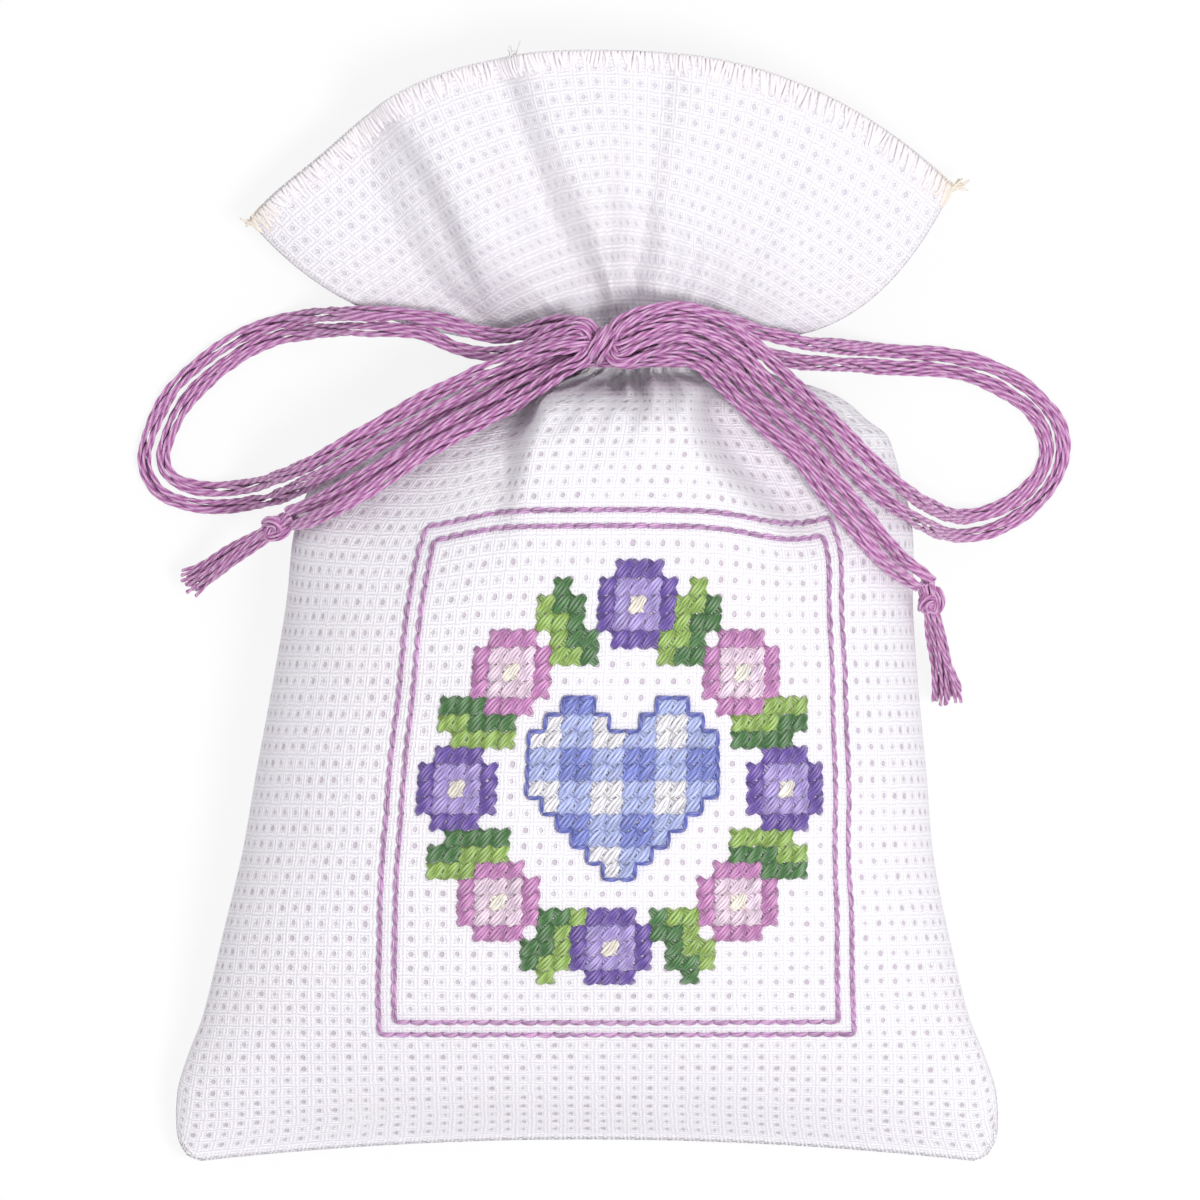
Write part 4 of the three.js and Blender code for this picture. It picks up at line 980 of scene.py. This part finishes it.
class SACHET_OT_stage(Operator):
    """Make the camera, the floor and the soft studio light"""

    bl_idname = "sachet.stage"
    bl_label = "Camera, floor and light"

    def execute(self, context):
        scene, stage = context.scene, settings_of(context)[2]
        scene.view_settings.view_transform = "Standard"
        camera = bpy.data.cameras.new("camera")
        camera.lens = stage.lens
        camera.sensor_width = 36
        camera.clip_end = 100
        distance = stage.view_width / 2 / (camera.sensor_width / 2 / stage.lens)
        holder = bpy.data.objects.new("camera", camera)
        holder.location = (*VIEW_MIDDLE, distance + VIEW_HEIGHT)
        scene.collection.objects.link(holder)
        scene.camera = holder

        side = 1.5
        mesh = bpy.data.meshes.new("floor")
        mesh.from_pydata([(-side, -side, 0), (side, -side, 0), (side, side, 0), (-side, side, 0)], [],
                         [(0, 1, 2, 3)])
        floor = bpy.data.objects.new("floor", mesh)
        scene.collection.objects.link(floor)
        n = paint("floor", FLOOR_COLOR)
        mesh.materials.append(n.finish((*FLOOR_COLOR, 1), 1.0, 0.0))
        rays = n.add("LightPath", "Is Camera Ray", {}).node.outputs
        seen = n.mul(n.math("MAXIMUM", rays["Is Camera Ray"], rays["Is Glossy Ray"]), FLOOR_WHITE)
        shaded = n.tree.nodes["Principled BSDF"].outputs[0]
        white = n.add("Emission", 0, {"Strength": 1.0})
        surface = n.add("MixShader", 0, {"Fac": seen, 1: shaded, 2: white})
        n.link(surface, n.tree.nodes["Material Output"].inputs["Surface"])

        n = Nodes(bpy.data.worlds.new("studio"))
        sky = n.tree.nodes["Background"]
        sky.inputs["Color"].default_value = (0.985, 0.985, 1.0, 1)
        sky.inputs["Strength"].default_value = stage.sky
        white = n.add("Background", 0, {"Strength": 1.0})
        surface = n.add("MixShader", 0, {"Fac": n.add("LightPath", "Is Camera Ray", {}),
                                         1: sky.outputs[0], 2: white})
        n.link(surface, n.tree.nodes["World Output"].inputs["Surface"])
        scene.world = n.owner

        # Name, place and diameter in metres, power in watts
        lights = (("key", (0.14, -0.07, 0.5), 0.14, stage.key_power),
                  ("fill", (-0.2, 0.25, 0.5), 0.4, stage.key_power * 0.1))
        for name, place, size, power in lights:
            light = bpy.data.lights.new(name, "AREA")
            light.shape = "DISK"
            light.size = size
            light.energy = power
            lamp = bpy.data.objects.new(name, light)
            lamp.location = place
            back = unit(np.array(place))
            tilt = np.arccos(back[2])
            turn = np.arctan2(back[1], back[0]) + np.pi / 2
            lamp.rotation_euler = (tilt, 0, turn)
            scene.collection.objects.link(lamp)
        return {"FINISHED"}


class SACHET_OT_bow_cords(Operator):
    """Make the two loops and two tails of the bow, two cords in each"""

    bl_idname = "sachet.bow_cords"
    bl_label = "Bow cords"

    def execute(self, context):
        floss = settings_of(context)[1]
        material = floss_material("bow_floss", floss, floss.cord_color)
        for seed, (name, route) in enumerate(CORD_ROUTES.items()):
            inside = CORD_EXITS[name.split("_")[0]]
            loop = "loop" in name
            route = [inside, *route, inside] if loop else [inside, *route]
            path = smooth_route(route, CORD_STEP)
            run = np.arange(len(path)) * CORD_STEP
            near = np.minimum(run, run[-1] - run) if loop else run
            spread = 0.2 * np.exp(-(near / 12) ** 2)
            if not loop:
                spread -= 0.45 * np.exp(-((run[-1] - run) / 2.5) ** 2)
            points, faces, uvs = bundle(path, carried_up(path), floss, CORD_SWELL * CORD_DIAMETER, 11 + seed,
                                        loose=0.14, spread=spread, flatness=0.85)
            piece = add_piece(f"{name}_strands", name, material, "floss", points, faces, uvs)
        return {"FINISHED"}


class SACHET_OT_neck_turns(Operator):
    """Make the two turns of cord round the neck"""

    bl_idname = "sachet.neck_turns"
    bl_label = "Neck turns"

    def execute(self, context):
        floss = settings_of(context)[1]
        material = bpy.data.materials["bow_floss"]
        angle = np.linspace(0, 2 * np.pi, 181)
        away = GAP + CORD_DIAMETER / 2
        for number, side in ((1, -1), (2, 1)):
            y = TIE_Y + side * (CORD_DIAMETER / 2 + GAP / 2)
            path = np.stack([TIE_OFFSET + (NECK_WIDTH / 2 + away) * np.cos(angle), np.full_like(angle, y),
                             SEAM_HEIGHT + (NECK_THICKNESS / 2 + GAP / 2 + away) * np.sin(angle)], 1)
            up = np.tile([0.0, 1.0, 0.0], (len(path), 1))
            mesh = bundle(path, up, floss, CORD_DIAMETER, 40 + number, lay_turns=2, closed=True)
            add_piece(f"neck_turn_{number}_strands", f"neck_turn_{number}", material, "floss", *mesh)
        return {"FINISHED"}


def knot_frame(start, end):
    """Unit vectors along, across and up for a piece that runs from one point to another."""
    along = unit(end - start)
    across = unit(np.cross([0, 0, 1.0], along))
    return along, across, np.cross(along, across)


class SACHET_OT_knots(Operator):
    """Make the wrapped knot of the bow and the overhand knot of each tail"""

    bl_idname = "sachet.knots"
    bl_label = "Knots"

    def execute(self, context):
        floss = settings_of(context)[1]
        material = bpy.data.materials["bow_floss"]
        t = np.linspace(0, 1, 121)
        turn = 2 * np.pi * (WRAP_TURNS * t + WRAP_START)
        shift = (t - 0.5) * WRAP_LENGTH
        rise = WRAP_RISE * np.cos(turn)
        lean, upright = np.sin(WRAP_TILT), np.cos(WRAP_TILT)
        path = BOW_KNOT + np.stack([shift * upright + rise * lean, rise * upright - shift * lean,
                                    WRAP_DEPTH * np.sin(turn)], 1)
        path = even_points(path, KNOT_STEP)
        mesh = bundle(path, carried_up(path, (1, 0, 0)), floss, WRAP_DIAMETER, 51, loose=KNOT_LOOSE)
        add_piece("bow_knot_wraps", "bow_knot", material, "floss", *mesh)
        for seed, (side, (start, end)) in enumerate(TAILS.items()):
            along, across, up = knot_frame(start, end)
            t = np.linspace(0, 2 * np.pi, 121)
            middle = start + along * TAIL_KNOT_LENGTH / 2
            size = 0.3
            loop = (np.outer((np.sin(t) + 2 * np.sin(2 * t)) * size, across)
                    + np.outer((np.cos(t) - 2 * np.cos(2 * t)) * size, up)
                    + np.outer(-np.sin(3 * t) * 0.85, along))
            path = even_points(middle + loop, KNOT_STEP)
            mesh = bundle(path, carried_up(path, along), floss, CORD_DIAMETER, 61 + seed,
                          loose=KNOT_LOOSE)
            core = np.stack([start - along * 1.2, middle, start + along * (TAIL_KNOT_LENGTH + 0.8)])
            core = even_points(core, 0.3)
            inner = bundle(core, carried_up(core), floss, CORE_DIAMETER, 71 + seed, loose=KNOT_LOOSE)
            add_piece(f"{side}_tail_knot_wraps", f"{side}_tail_knot", material, "floss",
                      *join_threads([mesh, inner]))
        return {"FINISHED"}


class SACHET_OT_tassels(Operator):
    """Make the loose strands below each tail's knot"""

    bl_idname = "sachet.tassels"
    bl_label = "Tassels"

    def execute(self, context):
        floss = settings_of(context)[1]
        material = bpy.data.materials["bow_floss"]
        for seed, (side, (start, end)) in enumerate(TAILS.items()):
            chance = np.random.default_rng(81 + seed)
            along, across, up = knot_frame(start, end)
            begin = start + along * (TAIL_KNOT_LENGTH - 0.3)
            strands = 3 * floss.strands
            t = np.linspace(0, 1, 61)
            angle = 2 * np.pi * np.arange(strands) * EVEN_TURN
            away = np.sqrt((np.arange(strands) + 0.5) / strands)
            spread = 0.75 + 0.45 * t ** 0.8 + 0.3 * t ** 6
            phase = chance.uniform(0, 2 * np.pi, (strands, 2))
            reach = away[:, None] * spread[None] * chance.uniform(0.85, 1.1, (strands, 1))
            turn = angle[:, None] + 0.5 * t[None] + 0.25 * np.sin(5 * t[None] + phase[:, [0]])
            wave = 0.12 * np.sin(9 * t[None] + phase[:, [1]]) * t[None]
            length = (TASSEL_LENGTH + 0.2) * chance.uniform(0.93, 1.0, strands)
            paths = (begin[None, None] + along * (length[:, None] * t[None])[..., None]
                     + across * (reach * np.cos(turn) + wave)[..., None]
                     + up * (reach * np.sin(turn))[..., None])
            run = length[:, None] * t[None]
            plies = phase[:, [0]] - 2 * np.pi * run / floss.ply_pitch
            taper = np.where(t > 0.93, 1.0 + 0.25 * (t - 0.93) / 0.07, 1.0)[None] * np.ones((strands, 1))
            ups = np.broadcast_to(up, paths.shape)
            mesh = thread_mesh(paths, ups, 0.42 * floss.strand_diameter, TASSEL_SIDES, plies,
                               TASSEL_LOBES, taper)
            add_piece(f"{side}_tassel_strands", f"{side}_tassel", material, "floss", *mesh)
        return {"FINISHED"}


def rim_faces(outer, inner, fine):
    """Triangles that join a fine boundary line of points to a coarse one, `fine` steps to one."""
    here = outer[:-1].reshape(-1, fine)
    nearby = outer[1:].reshape(-1, fine)
    half = fine // 2
    low, high = inner[:-1], inner[1:]
    parts = [np.stack([nearby[:, k], here[:, k], low if k < half else high], 1) for k in range(fine)]
    parts.append(np.stack([here[:, half], low, high], 1))
    return np.concatenate(parts)


def panel_mesh(side, fine, dimple):
    """A cloth panel: its outer face on the fine grid, drawn in at each hole of the weave, and its inner
    face on the block grid, joined all round the rim."""
    points, normals = cloth_grid(side, fine)
    rows, columns = points.shape[:2]
    j, i = np.meshgrid(np.arange(rows), np.arange(columns), indexing="ij")
    from_hole = np.hypot(*(np.minimum(k % fine, fine - k % fine) / fine for k in (i, j)))
    depth = dimple * np.exp(-(from_hole / 0.2) ** 2)
    edge = (i == 0) | (j == 0) | (i == columns - 1) | (j == rows - 1)
    outer = points - normals * np.where(edge, 0, depth)[..., None]
    thick = CLOTH_THICKNESS * VISIBLE_THICKNESS
    inner = (points - normals * thick)[::fine, ::fine]
    if side < 0:
        outer[..., 2] = np.maximum(outer[..., 2], 0)
        inner[..., 2] = np.maximum(inner[..., 2], thick)
    few_rows, few_columns = inner.shape[:2]
    index = np.arange(rows * columns).reshape(rows, columns)
    few = rows * columns + np.arange(few_rows * few_columns).reshape(few_rows, few_columns)
    out = np.stack([index[:-1, :-1], index[:-1, 1:], index[1:, 1:], index[1:, :-1]], -1).reshape(-1, 4)
    back = np.stack([few[:-1, :-1], few[1:, :-1], few[1:, 1:], few[:-1, 1:]], -1).reshape(-1, 4)
    rim = np.concatenate([rim_faces(index[0], few[0], fine),
                          rim_faces(index[:, -1], few[:, -1], fine),
                          rim_faces(index[-1, ::-1], few[-1, ::-1], fine),
                          rim_faces(index[::-1, 0], few[::-1, 0], fine)])
    place = np.stack([i, j], -1).reshape(-1, 2) / fine / BLOCKS_A_UNIT
    few_place = place.reshape(rows, columns, 2)[::fine, ::fine].reshape(-1, 2)
    place = np.concatenate([place, few_place])
    faces = [rim, np.concatenate([out, back])]
    uvs = np.concatenate([place[f.ravel()] for f in faces])
    return np.concatenate([outer.reshape(-1, 3), inner.reshape(-1, 3)]), faces, uvs


class SACHET_OT_panels(Operator):
    """Make the front and back of the bag"""

    bl_idname = "sachet.panels"
    bl_label = "Cloth panels"

    def execute(self, context):
        cloth = settings_of(context)[0]
        material = cloth_material(cloth)
        for name, side, fine in (("front", 1, FRONT_FINE), ("back", -1, BACK_FINE)):
            piece = add_piece(f"{name}_cloth", f"{name}_panel", material, "cloth",
                              *panel_mesh(side, fine, cloth.dimple))
        return {"FINISHED"}


class SACHET_OT_filling(Operator):
    """Make the dried buds that fill the bag"""

    bl_idname = "sachet.filling"
    bl_label = "Filling"

    def execute(self, context):
        material = bud_material(settings_of(context)[0])
        s = np.linspace(FILLING_START, FILLING_END, 79)[:, None]
        u = np.linspace(-1, 1, 161)[None, :]
        front = body_points(u, s, 1)
        back = body_points(u, s, -1)
        centre = u.shape[1] // 2
        along, across = 2, 9
        near, window = ((along, along), (across, across)), (2 * along + 1, 2 * across + 1)
        low = sliding_window_view(np.pad(front[..., 2], near, mode="edge"), window).min(axis=(2, 3))
        high = sliding_window_view(np.pad(back[..., 2], near, mode="edge"), window).max(axis=(2, 3))
        middle = front[:, [centre]]
        lumps = sum(np.sin(front @ np.array(wave) + k) for k, wave in enumerate(
            [(0.9, 1.3, 0.7), (-1.1, 0.8, 1.2), (0.6, -1.5, 0.9), (1.7, 0.5, -1.3)]))
        half = np.maximum((low - np.maximum(high, 0)) / 2 - FILLING_GAP + 0.05 * lumps, 0.2)
        front[..., 0] = back[..., 0] = mix(middle[..., 0], front[..., 0], FILLING_WIDTH)
        front[..., 2] = (low + np.maximum(high, 0)) / 2 + half
        back[..., 2] = front[..., 2] - 2 * half
        points = np.concatenate([front[:, :-1], back[:, :0:-1]], 1)
        middle = (front[:, [centre]] + back[:, [centre]]) / 2
        rings, around = points.shape[:2]
        points = np.concatenate([points.reshape(-1, 3), middle[0], middle[-1]])
        index = np.arange(rings * around).reshape(rings, around)
        beside = np.roll(index, -1, axis=1)
        quads = np.stack([index[:-1], index[1:], beside[1:], beside[:-1]], -1).reshape(-1, 4)
        first, last = rings * around, rings * around + 1
        ends = np.concatenate([
            np.stack([np.full(around, first), index[0], beside[0]], 1),
            np.stack([np.full(around, last), beside[-1], index[-1]], 1)])
        piece = add_piece("lavender_buds", "lavender_filling", material, "buds", points, [ends, quads])
        return {"FINISHED"}


def stroke_mesh(paths, normals, radius, tones):
    """Short threads along paths of shape (threads, points, 3), with one colour each, slightly thinner
    at their ends. Returns points, faces, UVs and one colour a point."""
    t = np.linspace(-1, 1, paths.shape[1])
    taper = np.tile(1 - 0.25 * t ** 4, (len(paths), 1))
    twist = -1.9 * (t[None] + 1) + 2.4 * np.arange(len(paths))[:, None]
    points, faces, uvs = thread_mesh(paths, normals, radius, STITCH_SIDES, twist, taper=taper)
    return points, faces, uvs, np.repeat(tones, paths.shape[1] * STITCH_SIDES, axis=0)


def varied(tones, spread, seed):
    """Linear colours of some threads, each lighter or darker by its own chance."""
    chance = np.random.default_rng(seed)
    light = 1 + chance.normal(0, spread, (len(tones), 1))
    return np.clip(linear(tones) * light, 0.01, 0.93)


def stitch_paths(starts, ends, low, high, apart, seed, strands=2):
    """Strands side by side from one hole of the weave to another, given in blocks: each rises out of
    its hole from `low` to `high` millimetres over the cloth and goes down into the next. They reach
    `apart` millimetres to either side of the line and wander a little."""
    chance = np.random.default_rng(seed)
    t = np.linspace(0, 1, 7)
    line = starts[:, None] + (ends - starts)[:, None] * t[None, :, None]
    points, normals = cloth_at(line[..., 0], line[..., 1])
    rise = low + (high - low) * np.sin(np.pi * t) ** 0.55
    across = np.cross(normals, unit(points[:, -1:] - points[:, :1]))
    bow = 0.6 + 0.4 * np.sin(np.pi * t)[None, :, None]
    beside = []
    for side in np.linspace(-1, 1, strands):
        wander = side * apart * chance.uniform(0.8, 1.2, (len(starts), 1, 1)) * bow
        lift = rise[None, :, None] + chance.uniform(-0.04, 0.04, (len(starts), 1, 1))
        beside.append(points + across * wander + normals * lift)
    return np.concatenate(beside), np.concatenate([normals] * strands)


def cross_stitches(cells, tones, seed):
    """A cross over each of the given weave blocks, the leg up to the right on top."""
    cells = np.asarray(cells, float)
    tones = np.asarray(tones, float)
    under = stitch_paths(cells + (0, 1), cells + (1, 0), STITCH_END, UNDER_RISE, LEG_REACH, seed, 3)
    over = stitch_paths(cells, cells + 1, STITCH_END, OVER_RISE, LEG_REACH, seed + 1, 3)
    paths = np.concatenate([under[0], over[0]])
    normals = np.concatenate([under[1], over[1]])
    # Painted shade: the three lower strands are a little darker than the upper ones over them
    shades = np.concatenate([varied(tones * leg_shade, 0.09, seed + 2 + k)
                             for k, leg_shade in enumerate((0.93, 0.93, 0.93, 1, 1, 1))])
    return stroke_mesh(paths, normals, STRAND_RADIUS, shades)


def back_stitches(corners, tones, seed):
    """Stitches one block long, end to end round a closed frame given by its corners in blocks."""
    starts = []
    for (x0, y0), (x1, y1) in zip(corners, corners[1:] + corners[:1]):
        steps = max(abs(x1 - x0), abs(y1 - y0))
        t = np.arange(steps)[:, None] / steps
        starts.append(np.array([x0, y0]) + t * np.array([x1 - x0, y1 - y0]))
    starts = np.concatenate(starts).astype(float)
    ends = np.roll(starts, -1, axis=0)
    paths, normals = stitch_paths(starts, ends, BACK_END, BACK_RISE, BACK_REACH, seed)
    shades = np.tile(tones, (2 * len(starts), 1))
    return stroke_mesh(paths, normals, BACK_RADIUS, varied(shades, 0.12, seed + 1))


class SACHET_OT_border(Operator):
    """Make the double back-stitched frame"""

    bl_idname = "sachet.border"
    bl_label = "Border"

    def execute(self, context):
        floss = settings_of(context)[1]
        material = floss_material("border_floss", floss)
        for name, inset in (("outer", 0), ("inner", 1)):
            left, right = BORDER_LEFT + inset, BORDER_RIGHT - inset
            bottom, top = BORDER_BOTTOM + inset, BORDER_TOP - inset
            corners = [(left, bottom), (right, bottom), (right, top), (left, top)]
            add_piece(f"border_{name}_stitches", f"border_{name}_line", material, "border_floss",
                      *back_stitches(corners, floss.border_color, 101 + inset))
        return {"FINISHED"}


def heart_cells():
    """Blocks of the heart: rows that widen from the point, full rows, and two lobes on top."""
    x, y = np.meshgrid(np.arange(HEART_WIDTH) - (HEART_WIDTH - 1) / 2, np.arange(HEART_HEIGHT))
    away = np.abs(x)
    lobes_start = HEART_HEIGHT - 2
    lobes = np.where(y == lobes_start, (away > 0.9) & (away < 5.1), (away > 1.9) & (away < 4.1))
    inside = np.where(y < lobes_start, away <= np.minimum(y + 0.5, 5.5), lobes)
    j, i = np.nonzero(inside)
    return np.stack([i, j], 1), inside


class SACHET_OT_heart(Operator):
    """Make the checked heart in the middle of the wreath"""

    bl_idname = "sachet.heart"
    bl_label = "Checked heart"

    def execute(self, context):
        floss = settings_of(context)[1]
        material = floss_material("blue_floss", floss)
        cells, inside = heart_cells()
        corner = np.floor(WREATH - np.array([HEART_WIDTH, HEART_HEIGHT]) / 2)
        checks = (cells[:, 0] // 2 % 2) + (cells[:, 1] // 2 % 2)
        shades = np.array([floss.heart_light, floss.heart_middle, floss.heart_dark])
        stitches = cross_stitches(cells + corner, shades[checks], 121)
        wide = np.pad(inside, 1)
        rows = []
        for step, start, end in (((0, -1), (0, 0), (1, 0)), ((0, 1), (0, 1), (1, 1)),
                                 ((-1, 0), (0, 0), (0, 1)), ((1, 0), (1, 0), (1, 1))):
            open_side = ~wide[cells[:, 1] + 1 + step[1], cells[:, 0] + 1 + step[0]]
            here = cells[open_side]
            rows.append(np.stack([here + start, here + end], 1))
        edges = np.concatenate(rows).astype(float) + corner
        paths, normals = stitch_paths(edges[:, 0], edges[:, 1], OUTLINE_END, OUTLINE_RISE,
                                      OUTLINE_REACH, 131)
        shades = varied(np.tile(floss.heart_outline, (len(paths), 1)), 0.08, 132)
        outline = stroke_mesh(paths, normals, OUTLINE_RADIUS, shades)
        add_piece("check_heart_stitches", "check_heart", material, "blue_floss",
                  *join_strokes([stitches, outline]))
        return {"FINISHED"}


def tuft(place, direction, count, length, seed):
    """Loose fibres from one point of a rim, fanned about a direction and curling over."""
    chance = np.random.default_rng(seed)
    heading = unit(np.array(direction, float)) + chance.normal(0, 0.35, (count, 3))
    curl = chance.normal(0, 0.3, (count, 3)) - (0, 0, 0.15)
    reach = length * chance.uniform(0.5, 1, (count, 1, 1)) * np.linspace(-0.3, 1, 7)[None, :, None]
    paths = place + chance.normal(0, 0.15, (count, 1, 3)) + heading[:, None] * reach
    paths = paths + curl[:, None] * reach ** 2
    return paths, np.tile([0.0, 0.0, 1.0], (count, 7, 1))


def join_strokes(meshes):
    """Several stroke meshes as one."""
    points, faces, uvs = join_threads([mesh[:3] for mesh in meshes])
    return points, faces, uvs, np.concatenate([mesh[3] for mesh in meshes])


class SACHET_OT_wreath(Operator):
    """Make the blossoms and leaves of the wreath"""

    bl_idname = "sachet.wreath"
    bl_label = "Wreath"

    def execute(self, context):
        floss = settings_of(context)[1]
        materials = {name: floss_material(name, floss)
                     for name in ("violet_floss", "pink_floss", "green_floss")}
        last = BLOSSOM_SIZE - 1
        i, j = np.meshgrid(np.arange(BLOSSOM_SIZE), np.arange(BLOSSOM_SIZE))
        petal = ~(np.isin(i, (0, last)) & np.isin(j, (0, last)))
        flower = np.stack([i[petal], j[petal]], 1)
        from_eye = np.abs(flower - last // 2).sum(axis=1)
        at_edge = (from_eye == 2) & np.all(flower % 2 == 0, axis=1)
        taken = np.zeros((COLUMNS, ROWS), bool)
        for k in range(MOTIFS):
            turn = 2 * np.pi * k / MOTIFS
            middle = WREATH + WREATH_RADIUS * np.array([np.cos(turn), np.sin(turn)])
            slot, outer, inner = (("violet_floss", floss.violet_color, floss.violet_light) if k % 2 == 0
                                  else ("pink_floss", floss.pink_color, floss.pink_light))
            shades = np.array([floss.eye_color, inner, inner, outer])[from_eye]
            shades[at_edge] = outer
            cells = flower + np.floor(middle - last // 2).astype(int)
            taken[tuple(cells.T)] = True
            add_piece(f"blossom_{k + 1}_stitches", f"blossom_{k + 1}", materials[slot], slot,
                      *cross_stitches(cells, shades, 201 + 10 * k))

        half_along, half_across = LEAF_HALF_SIZES
        x, y = np.meshgrid(np.arange(-3, 4), np.arange(-3, 4))
        for k in range(MOTIFS):
            turn = 2 * np.pi * (k + 0.5) / MOTIFS
            middle = WREATH + WREATH_RADIUS * np.array([np.cos(turn), np.sin(turn)])
            cells = np.stack([x.ravel(), y.ravel()], 1) + np.floor(middle).astype(int)
            away = cells + 0.5 - middle
            along = away @ np.array([-np.sin(turn), np.cos(turn)])
            across = away @ np.array([np.cos(turn), np.sin(turn)])
            leaf = (along / half_along) ** 2 + (across / half_across) ** 2 <= 1
            leaf &= ~taken[tuple(cells.T)]
            shades = np.where(along[leaf, None] > 0, floss.leaf_light, floss.leaf_dark)
            add_piece(f"leaf_{k + 1}_stitches", f"leaf_{k + 1}", materials["green_floss"],
                      "green_floss", *cross_stitches(cells[leaf], shades, 301 + 10 * k))
        return {"FINISHED"}


class SACHET_OT_edging(Operator):
    """Make the stitches over the rims of the mouth"""

    bl_idname = "sachet.edging"
    bl_label = "Rim stitches"

    def execute(self, context):
        cloth, floss = settings_of(context)[:2]
        # The rim and seam thread has only faint painted shade in its creases
        material = floss_material("seam_thread", floss, crease_shade_share=0.1)
        for name, side, fine in (("front", 1, FRONT_FINE), ("back", -1, BACK_FINE)):
            chance = np.random.default_rng(401 + side)
            points, normals = cloth_grid(side, fine)
            count = int(COLUMNS / cloth.edging_pitch)
            column = (np.arange(count) + 0.5 + chance.uniform(-0.2, 0.2, count)) * cloth.edging_pitch * fine
            column = np.clip(column, 0.5, COLUMNS * fine - 0.5)
            rows = len(points) - 1
            depth = chance.uniform(0.75, 1.35, count) * fine
            tilt = chance.uniform(-0.3, 0.3, count) * fine
            lines = []
            for t in np.linspace(0, 1, 6):
                at, row = column + tilt * (1 - t), rows - depth * (1 - t)
                rise = -0.12 + 0.2 * np.minimum(1, 3 * t)
                lines.append(between(points, at, row) + between(normals, at, row) * rise)
            beyond, normal = between(points, column, rows), between(normals, column, rows)
            outward = unit(beyond - between(points, column, rows - 2))
            lines += [beyond + outward * 0.1, beyond + outward * 0.08 - normal * 0.4,
                      beyond - outward * 0.5 - normal * 0.7]
            paths = np.stack(lines, 1)
            ups = np.repeat(normal[:, None], paths.shape[1], axis=1)
            beige = np.clip(1 - np.minimum(column, COLUMNS * fine - column) / (2.5 * fine), 0, 1)[:, None]
            colors = mix(np.array(cloth.edging_color), np.array(cloth.frayed_color), beige)
            meshes = [stroke_mesh(paths, ups, 0.19, varied(colors, 0.02, 411 + side))]
            if side > 0:
                tufts = [(-1, (0.6, 0.4, 0), 22, 0.9, 0.12, cloth.frayed_color),
                         (0, (-1, 0, 0), 12, 0.7, 0.1, cloth.frayed_color),
                         (int(0.42 * COLUMNS * fine), (0.2, 1, 0.1), 7, 1.3, 0.05, cloth.edging_color)]
                for k, (corner, direction, threads, length, radius, color) in enumerate(tufts):
                    fibres, above = tuft(points[-1, corner], direction, threads, length, 431 + k)
                    shades = varied(np.tile(color, (threads, 1)), 0.05, 441 + k)
                    meshes.append(stroke_mesh(fibres, above, radius, shades))
            add_piece(f"{name}_rim_stitches", f"{name}_mouth_edging", material, "seam_thread",
                      *join_strokes(meshes))
        return {"FINISHED"}


class SACHET_OT_seams(Operator):
    """Make the running stitches inside the side seams, in the part's own plain thread"""

    bl_idname = "sachet.seams"
    bl_label = "Seam stitches"

    def execute(self, context):
        cloth = settings_of(context)[0]
        material = bpy.data.materials["seam_thread"]
        s = np.linspace(SEAM_START, SEAM_END, 121)
        for name, side in (("left", -1), ("right", 1)):
            edge = body_points(np.full_like(s, side), s, 1)
            edge[:, 0] -= side * SEAM_INSET
            line = even_points(edge, 0.5)
            starts = line[:-4:4]
            t = np.linspace(0, 1, 5)[None, :, None]
            paths = starts[:, None] + (line[3::4][:len(starts), None] - starts[:, None]) * t
            ups = np.tile([0.0, 0.0, 1.0], (*paths.shape[:2], 1))
            tones = varied(np.tile(cloth.edging_color, (len(paths), 1)), 0.05, 421 + side)
            add_piece(f"{name}_seam_stitches", f"{name}_seam_stitching", material, "seam_thread",
                      *stroke_mesh(paths, ups, 0.2, tones))
        return {"FINISHED"}


class SACHET_PT_sidebar(Panel):
    """Settings and steps of the sachet in the sidebar"""

    bl_idname = "SACHET_PT_sidebar"
    bl_label = "Lavender sachet"
    bl_space_type = "VIEW_3D"
    bl_region_type = "UI"
    bl_category = "Sachet"

    def draw(self, context):
        for settings in settings_of(context):
            for name in settings.__annotations__:
                self.layout.prop(settings, name)
        for operator in OPERATORS:
            self.layout.operator(operator.bl_idname)


OPERATORS = (SACHET_OT_stage, SACHET_OT_bow_cords, SACHET_OT_neck_turns, SACHET_OT_knots,
             SACHET_OT_tassels, SACHET_OT_panels, SACHET_OT_filling, SACHET_OT_edging,
             SACHET_OT_seams, SACHET_OT_border, SACHET_OT_heart, SACHET_OT_wreath)
CLASSES = (ClothSettings, FlossSettings, StageSettings, *OPERATORS, SACHET_PT_sidebar)


def register():
    for item in CLASSES:
        bpy.utils.register_class(item)
    bpy.types.Scene.sachet_cloth = PointerProperty(type=ClothSettings)
    bpy.types.Scene.sachet_floss = PointerProperty(type=FlossSettings)
    bpy.types.Scene.sachet_stage = PointerProperty(type=StageSettings)


def unregister():
    del bpy.types.Scene.sachet_stage
    del bpy.types.Scene.sachet_floss
    del bpy.types.Scene.sachet_cloth
    for item in reversed(CLASSES):
        bpy.utils.unregister_class(item)


def main():
    register()
    for operator in OPERATORS:
        group, name = operator.bl_idname.split(".")
        getattr(getattr(bpy.ops, group), name)()


if __name__ == "__main__":
    main()
